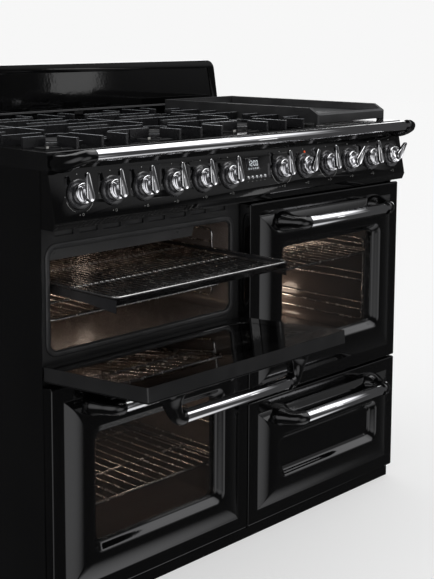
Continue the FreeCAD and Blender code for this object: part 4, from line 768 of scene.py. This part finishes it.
digits = bmesh.new()
for sign, across in zip("1200", (-11, -3, 6, 14)):
    for bar in SEGMENTS[sign]:
        x, y, wide, tall = BARS[bar]
        printed_bar(digits, across + x, -29 + y, wide, tall)
for spot in (-26.5, -31.5):
    printed_disc(digits, 1.6, spot, 0.7)
for spot in (-14, -7, 0, 7, 14):
    printed_arc(digits, spot + 1, -39.8, 1.5, 0, 360, 0.5)
piece("clock_digits", digits, lit, "cooker",
      place=FASCIA @ shift(0, 0, 0.6))
for number in range(1, 6):
    key = bmesh.new()
    turned(key, [(0, -7), (4.0, -7), (4.0, 2.2), (3.6, 3.1), (2.4, 3.5), (0, 3.5)], steps=32)
    piece(f"key_{number}", key, chrome, f"push_{number}", [f"button_{number}"],
          place=on_fascia(KEY_START + KEY_PITCH * (number - 1), -59))
red_lens = finish("red_lens", (0.5, 0.03, 0.01), (0.35, 0.02, 0.01), 40, (0.1, 0.2))
glowing(red_lens, (1.0, 0.16, 0.03), 0.35)
lens = bmesh.new()
turned(lens, [(0, -0.4), (2.6, -0.4), (2.6, 0.6), (2.2, 1.2), (1.3, 1.6), (0, 1.7)], steps=24)
piece("warning_lamp", lens, red_lens, "cooker", place=on_fascia(178, -17))
print("clock and keys placed")

# %% [markdown]
# ## Towel rail
# A polished tube runs along the front on two black horns. A horn starts as an oval foot on the
# hob's corner and bends over into a sleeve round the tube.

# %% Rail and its horns
rail = bmesh.new()
turned(rail, [(0, 0), (10.8, 0), (11, 0.4), (11, 999.6), (10.8, 1000), (0, 1000)], "X",
       (-500, -359, 894), steps=64)
piece("rail_tube", rail, chrome, "cooker", ["towel_rail"])
horns = bmesh.new()
for way in (1, -1):
    def at(inward, out, up):
        """A place measured from the hob's side and its front."""
        return (way * (-549 + inward), -300 - out, up)
    bent_horn(horns, [
        (at(24, 1, 880), (way * 0.1, -1, 0), 22, 18), (at(24, 9, 880), (way * 0.1, -1, 0), 22.5, 18.5),
        (at(24.5, 17, 880.5), (way * 0.2, -1, 0), 21.5, 18),
        (at(25.5, 27, 882), (way * 0.35, -1, 0), 19, 17),
        (at(28, 39, 885.5), (way * 0.6, -0.9, 0), 16.5, 15.5),
        (at(33, 49, 889.5), (way * 0.9, -0.7, 0), 14.6, 14.4),
        (at(40, 56, 892.5), (way, -0.35, 0), 13.6, 13.6),
        (at(47, 58.6, 893.8), (way, -0.1, 0), 13.2, 13.2)]
        + [(at(inward, 59, 894), (way, 0, 0), wide, wide)
           for inward, wide in ((54, 13.0), (57, 13.3), (59, 12.8), (59.4, 11.1))])
piece("rail_horns", horns, black_enamel, "cooker", ["towel_rail_ends"])
print("rail and horns placed")

# %% [markdown]
# ## Racks and runners
# Every rack is a bent frame of round wire with thinner bars welded on it from front to back.
# The side runners are frames of the same wire, with two bars to each level.

# %% Racks
RACKS = {"upper_left": (-514, -35, 577), "lower_left": (-514, -35, 190), "right": (35, 514, 577)}
RACK_FRONT, RACK_BACK, RACK_INSET = -253, 141, 3


def wire_corners(left, right, front, back, up):
    """The corners of a level frame of wire."""
    return [(left, front, up), (right, front, up), (right, back, up), (left, back, up)]


def spread(first, last, count):
    """Places for count bars, spaced evenly between two ends."""
    return [first + (last - first) * (step + 1) / (count + 1) for step in range(count)]


for oven, (left, right, up) in RACKS.items():
    left, right = left + RACK_INSET, right - RACK_INSET
    rims = [(True, 16, wire_corners(left, right, RACK_FRONT, RACK_BACK, up))]
    rims += [(False, 8, [(left, deep, up), (right, deep, up)]) for deep in (20, -140)]
    wires(f"{oven}_rack_frame", rims, 3.0, f"{oven}_shelf", [f"{oven}_rack"])
    bars = [(False, 5, [(across, RACK_FRONT + 1.5, up + 1.4), (across, RACK_BACK - 1.5, up + 1.4)])
            for across in spread(left, right, 16)]
    wires(f"{oven}_rack_bars", bars, 1.9, f"{oven}_shelf", sides=1)
print("racks:", len(RACKS))

# %% Side runners
RUNNER_FRONT, RUNNER_BACK = -219, 136
# For each oven on a side, the levels of its bars and the top of its frame.
LEFT_FRAMES = (((571.2, 645.7), 690), ((184.2, 259.2, 334.2), 368.2))
RIGHT_FRAMES = (((421.2, 496.2, 571.2), 601.2),)
runs = []
for wall, inward, frames in ((-519.5, 1, LEFT_FRAMES), (-29.5, -1, LEFT_FRAMES),
                             (29.5, 1, RIGHT_FRAMES), (519.5, -1, RIGHT_FRAMES)):
    post, bar = wall + 3.2 * inward, wall + 7.5 * inward
    for levels, top in frames:
        bottom = levels[0] - 26
        runs.append((True, 10, [(post, RUNNER_FRONT, bottom), (post, RUNNER_BACK, bottom),
                                (post, RUNNER_BACK, top), (post, RUNNER_FRONT, top)]))
        for level in levels:
            runs.append((False, 3, [(post, RUNNER_FRONT, level), (bar, RUNNER_FRONT + 7, level),
                                    (bar, RUNNER_BACK - 7, level), (post, RUNNER_BACK, level)]))
            runs.append((False, 3, [(post, RUNNER_FRONT, level + 17), (post, RUNNER_BACK, level + 17)]))
wires("runner_wires", runs, 2.3, "cooker", ["shelf_runners"], sides=1)
print("runner wires:", len(runs))

# %% [markdown]
# ## Grill tray
# The tray is a shallow enamelled pan with sloped sides and a rolled rim. It hangs on two side
# strips, and a fine grid of round wires lies in it.

# %% Tray, strips and grid
TRAY = (-513, -36, -440, -15)
GRID = (-497, -52, -421, -37)
RIM_INSET = 2.5
STRIP_TALL, STRIP_LONG, STRIP_DEEP, STRIP_UP = 24, 400, -236, 634
tray_enamel = finish("tray_enamel", (0.010, 0.010, 0.011), (0.018, 0.017, 0.017), 8, (0.05, 0.14),
                     ripple=0.08, ripple_size=240)
tray = bmesh.new()
framed(tray, "XY", TRAY,
       [(30, 628.6, 14), (25, 629.4, 14), (8, 646.0, 13), (3.8, 648.4, 12), (0.5, 648.5, 12),
        (0.2, 649.2, 12), (0.5, 650.1, 12), (1.6, 650.8, 12), (5, 650.8, 12), (8.5, 648.4, 12),
        (25.4, 631.4, 14), (30, 630.4, 13)],
       cap_first=True, cap_last=True)
piece("tray_pan", tray, tray_enamel, "grill_tray_assembly", ["grill_tray"])
strips = bmesh.new()
for side in (-507.9, -41.1):
    strip = bmesh.ops.create_grid(strips, x_segments=1, y_segments=6, size=0.5)["verts"]
    bmesh.ops.transform(strips, matrix=sized(STRIP_TALL, STRIP_LONG), verts=strip)
    bmesh.ops.transform(strips, matrix=shift(side, STRIP_DEEP, STRIP_UP)
                        @ Matrix.Rotation(math.pi / 2, 4, "Y"), verts=strip)
strip_front = (STRIP_DEEP - STRIP_LONG / 2) * MM
for vert in strips.verts:
    if vert.co.z < STRIP_UP * MM:
        along = max(0.0, (vert.co.y - strip_front) / (STRIP_LONG * MM))
        vert.co.z += 0.016 * along ** 0.6
bmesh.ops.solidify(strips, geom=list(strips.faces), thickness=1.2 * MM)
piece("tray_strips", strips, tray_enamel, "grill_tray_assembly")
left, right, front, back = TRAY
rim_run = [(True, 13, wire_corners(left + RIM_INSET, right - RIM_INSET, front + RIM_INSET,
                                   back - RIM_INSET, 650.4))]
wires("tray_rim", rim_run, 1.9, "grill_tray_assembly")
left, right, front, back = GRID
grid = [(True, 14, wire_corners(*GRID, 644))]
grid += [(False, 5, [(left, deep, 642), (right, deep, 642)]) for deep in (-140, -290)]
wires("grid_frame", grid, 2.8, "grill_tray_assembly", ["tray_grid"])
fine = [(False, 4, [(across, front + 1, 645.2), (across, back - 1, 645.2)])
        for across in spread(left, right, 31)]
wires("grid_bars", fine, 1.25, "grill_tray_assembly", sides=1)
print("grid bars:", len(fine))

# %% [markdown]
# ## Softened castings and sheets
# Cast and pressed parts have no knife edges. A copy of the solid is merged and every sharp
# edge is bevelled a little, so that it catches the light.

# %% Bevelling a copy of a solid
def softened(node, material, body="cooker", offset=0.8, segments=2):
    """A bevelled copy of one solid takes its place."""
    bm = bmesh.new()
    bm.from_mesh(nodes[node].data)
    bm.transform(nodes[node].matrix_world)
    bmesh.ops.remove_doubles(bm, verts=bm.verts, dist=1e-5)
    bmesh.ops.dissolve_limit(bm, angle_limit=math.radians(1.0), verts=bm.verts, edges=bm.edges)
    edges = [edge for edge in bm.edges if len(edge.link_faces) == 2
             and edge.calc_face_angle(0.0) > math.radians(30) and edge.calc_length() > 2.5 * offset * MM]
    bmesh.ops.bevel(bm, geom=edges, offset=offset * MM, offset_type="OFFSET", segments=segments,
                    profile=0.5, affect="EDGES", material=-1, clamp_overlap=True)
    piece(f"{node}_soft", bm, material, body, [node], sharp=24.0)


for side in ("left", "middle", "right"):
    softened(f"{side}_pan_support", black_iron, f"{side}_grid", 1.1)
softened("griddle", plate_iron, "griddle_plate", 1.2)
softened("backsplash", black_enamel, offset=1.0)
softened("hob_top", hob_enamel)
softened("plinth", black_enamel, segments=1)
softened("front_frame", frame_enamel, offset=0.7)
softened("control_panel", black_enamel)
print("softened castings done")

# %% [markdown]
# ## Burners
# A burner is an alloy cup whose crown is cut into flame ports, under an enamelled cap. Beside
# it stand a spark pin in white ceramic and a short flame sensor.

# %% Crowns, caps, spark pins and sensors
BURNERS = [(x, y, r) for y, row in ((-145, (36, 30, 36)), (116, (36, 30, 46)))
           for x, r in zip((-400, -131, 138), row)]
ceramic = finish("spark_ceramic", (0.75, 0.74, 0.70), (0.62, 0.61, 0.58), 60, (0.2, 0.35))
trays, cups, caps, pins, tips = (bmesh.new() for _count in range(5))
for x, y, radius in BURNERS:
    turned(trays, [(0, 888.2), (radius + 9, 888.2), (radius + 8.5, 889.6), (radius + 2, 890.4),
                   (radius - 3, 892.0), (radius - 3, 892.4), (0, 892.4)], at=(x, y, 0), steps=48)
    turned(cups, [(0, 892), (radius - 4, 892.2), (radius - 4, 894.0), (radius + 0.5, 894.8),
                  (radius + 0.5, 895.6), (radius - 3.5, 896.2), (radius - 3.5, 901.0), (0, 901.0)],
           at=(x, y, 0), steps=48)
    count = int(radius)
    for step in range(count):
        tooth = bmesh.ops.create_cube(cups, size=1)["verts"]
        bmesh.ops.transform(cups, matrix=shift(x, y, 898.3)
                            @ Matrix.Rotation(2 * math.pi * step / count, 4, "Z")
                            @ shift(radius - 3, 0, 0)
                            @ Matrix.Diagonal((6.5 * MM, 3.4 * MM, 5.6 * MM, 1)), verts=tooth)
    turned(caps, [(0, 900.8), (radius - 3, 900.8), (radius - 1, 901.3), (radius - 0.3, 902.6),
                  (radius - 0.9, 904.2), (radius - 3, 905.2), (radius - 9, 905.5), (radius * 0.35, 904.9),
                  (0, 904.7)],
           at=(x, y, 0), steps=48)
    for turn, height, wide, target in ((205, 897, 3.0, pins), (205, 902.5, 0.8, tips),
                                       (245, 900.5, 1.7, tips)):
        spot = math.radians(turn)
        reach = radius + 5.5
        turned(target, [(0, 888), (wide, 888), (wide, height - 0.6), (wide * 0.7, height), (0, height)],
               at=(x + reach * math.cos(spot), y + reach * math.sin(spot), 0), steps=14)
piece("burner_crowns", cups, burner_alloy, "cooker", ["burner_bodies"])
piece("burner_trays", trays, cap_enamel, "cooker")
piece("burner_lids", caps, cap_enamel, "cooker", ["burner_caps"])
piece("spark_ceramics", pins, ceramic, "cooker")
piece("spark_tips", tips, wire_steel, "cooker")
print("burners:", len(BURNERS))

# %% [markdown]
# ## Inside the ovens
# Each oven has a domed lens in its rear wall, which glows warm, and a fan cover with slots in
# rings, which are painted shade: thin dark boxes on its face, not cut openings. Small warm lamps
# that the eye doesn't see light the inside. The top oven also has a bent grill element and a
# shield before it.

# %% Lamps and lenses
OVEN_REAR, FAN_FACE = 174, 165
CAVITIES = {"upper_left": (-519.5, -29.5, 522, 714), "lower_left": (-519.5, -29.5, 81, 426),
            "right": (29.5, 519.5, 366, 714)}
lens_glass = finish("lamp_lens", (1.0, 0.78, 0.5), (0.95, 0.7, 0.42), 40, (0.1, 0.2))
glowing(lens_glass, (1.0, 0.72, 0.42), 2.0)
GLOWS = {"upper_left": ((-455, 60, 606, 0.8), (-90, 130, 690, 0.07)),
         "lower_left": ((-450, 110, 380, 0.9), (-110, -120, 396, 0.35)),
         "right": ((80, 90, 604, 0.5), (470, 60, 420, 0.35), (400, 0, 684, 0.15))}
for oven, (left, _right, low, high) in CAVITIES.items():
    lamp_at = (left + 70, OVEN_REAR, low + 40 if oven == "upper_left" else high - 45)
    lens = bmesh.new()
    turned(lens, [(0, 0), (26, 0), (26, 3), (24, 5), (23, 11), (20, 15), (14, 18), (0, 19)], "-Y",
           lamp_at, steps=36)
    piece(f"{oven}_lamp_lens", lens, lens_glass, "cooker")
    ring = bmesh.new()
    turned(ring, [(25, -1), (31, -1), (31, 3.2), (29.6, 4.8), (27, 5), (25.6, 4.2), (25, -1)], "-Y",
           lamp_at, steps=36)
    piece(f"{oven}_lamp_ring", ring, wire_steel, "cooker")
    for count, (x, y, z, watts) in enumerate(GLOWS[oven]):
        data = bpy.data.lights.new(f"{oven}_glow_{count}", "POINT")
        data.energy = watts
        data.color = (1.0, 0.79, 0.64)
        data.shadow_soft_size = 0.022
        glow = bpy.data.objects.new(f"{oven}_glow_{count}", data)
        glow.location = Vector((x, y, z)) * MM
        glow.visible_camera = False
        glow.visible_transmission = False
        bpy.context.scene.collection.objects.link(glow)
print("lamps:", len(CAVITIES))

# %% Grill element, its shield and the painted shade of the fan covers' slots
element_steel = finish("element_steel", (0.10, 0.09, 0.085), (0.16, 0.14, 0.13), 50, (0.3, 0.5),
                       metal=0.6)
sweep = [(-470, 172, 700), (-470, -200, 700)]
for step in range(3):
    base = -440 + 130 * step
    sweep += [(base, -200, 700), (base, 120, 700), (base + 65, 120, 700), (base + 65, -200, 700)]
sweep += [(-80, -200, 700), (-80, 172, 700)]
wires("grill_element", [(False, 14, sweep)], 3.4, "cooker", material=element_steel)
shield_steel = finish("shield_steel", (0.07, 0.07, 0.072), (0.10, 0.10, 0.10), 9, (0.25, 0.4), metal=0.3)
shield = bmesh.new()
framed(shield, "XY", (-505, -90, -222, -218), [(0, 682, 0.4), (0, 706, 0.4), (0.6, 706.6, 0.4)],
       cap_first=True, cap_last=True)
for vert in shield.verts:
    vert.co.y += 0.3 * (0.7066 - vert.co.z)
piece("grill_shield", shield, shield_steel, "cooker")
# Painted shade: the slots aren't cut; thin dark boxes lie on each cover's face where the openings are.
slots = bmesh.new()
for oven, (left, right, low, high) in CAVITIES.items():
    middle = ((left + right) / 2, (low + high) / 2)
    for ring_radius, count in ((22, 8), (38, 12), (54, 16)):
        for step in range(count):
            spot = 2 * math.pi * step / count
            shade_box_verts = bmesh.ops.create_cube(slots, size=1)["verts"]
            bmesh.ops.transform(slots, matrix=shift(middle[0], FAN_FACE, middle[1])
                                @ Matrix.Rotation(spot, 4, "Y")
                                @ shift(ring_radius, 0, 0)
                                @ Matrix.Diagonal((3.0 * MM, 0.6 * MM, 10.0 * MM, 1)), verts=shade_box_verts)
piece("fan_slots", slots, seal_rubber, "cooker")
print("element and slots placed")

# %% [markdown]
# ## Seals, painted shade behind the vent, and screws
# A rubber seal lies round each oven's mouth, a flattened tube that follows its corners. A dark
# sheet behind the vent slots over the top oven is painted shade that makes them read dark, and
# screws hold the back panel.

# %% Seals round the mouths
SEAL_HALF, SEAL_THICK = 4.7, 1.55
for oven, (left, right, low, high) in CAVITIES.items():
    seal = bmesh.new()
    turns = [2 * math.pi * step / 12 for step in range(12)]
    ring = [(-7.0 - SEAL_HALF * math.cos(turn), -268.1 - SEAL_THICK * math.sin(turn),
             21.0 + SEAL_HALF * math.cos(turn)) for turn in turns]
    framed(seal, "XZ", (left, right, low, high), ring, closed=True)
    piece(f"{oven}_seal_tube", seal, seal_rubber, "cooker",
          ["oven_seals"] if oven == "upper_left" else [])
print("seals:", len(CAVITIES))

# %% Painted shade behind the vent, and rear screws
REAR = 274.0
# Painted shade: a dark sheet stands behind the vent slots so that they read dark.
vent_shade_sheet = bmesh.new()
framed(vent_shade_sheet, "XZ", (-515, -34, 728, 751), [(0, -262.5, 1), (0, -258, 1), (0.3, -257.7, 1)],
       cap_first=True, cap_last=True)
piece("vent_painted_shade", vent_shade_sheet, seal_rubber, "cooker")
screws = bmesh.new()
for across in (-530, -265, 0, 265, 530):
    for high in (70, 420, 800):
        turned(screws, [(0, 0.1), (4.6, 0.1), (4.6, 0.9), (3.8, 2.0), (1.9, 2.5), (1.6, 1.4), (0, 1.4)],
               "Y", (across, REAR, high), 16)
piece("rear_screws", screws, zinc_sheet, "cooker")
print("screen and screws placed")
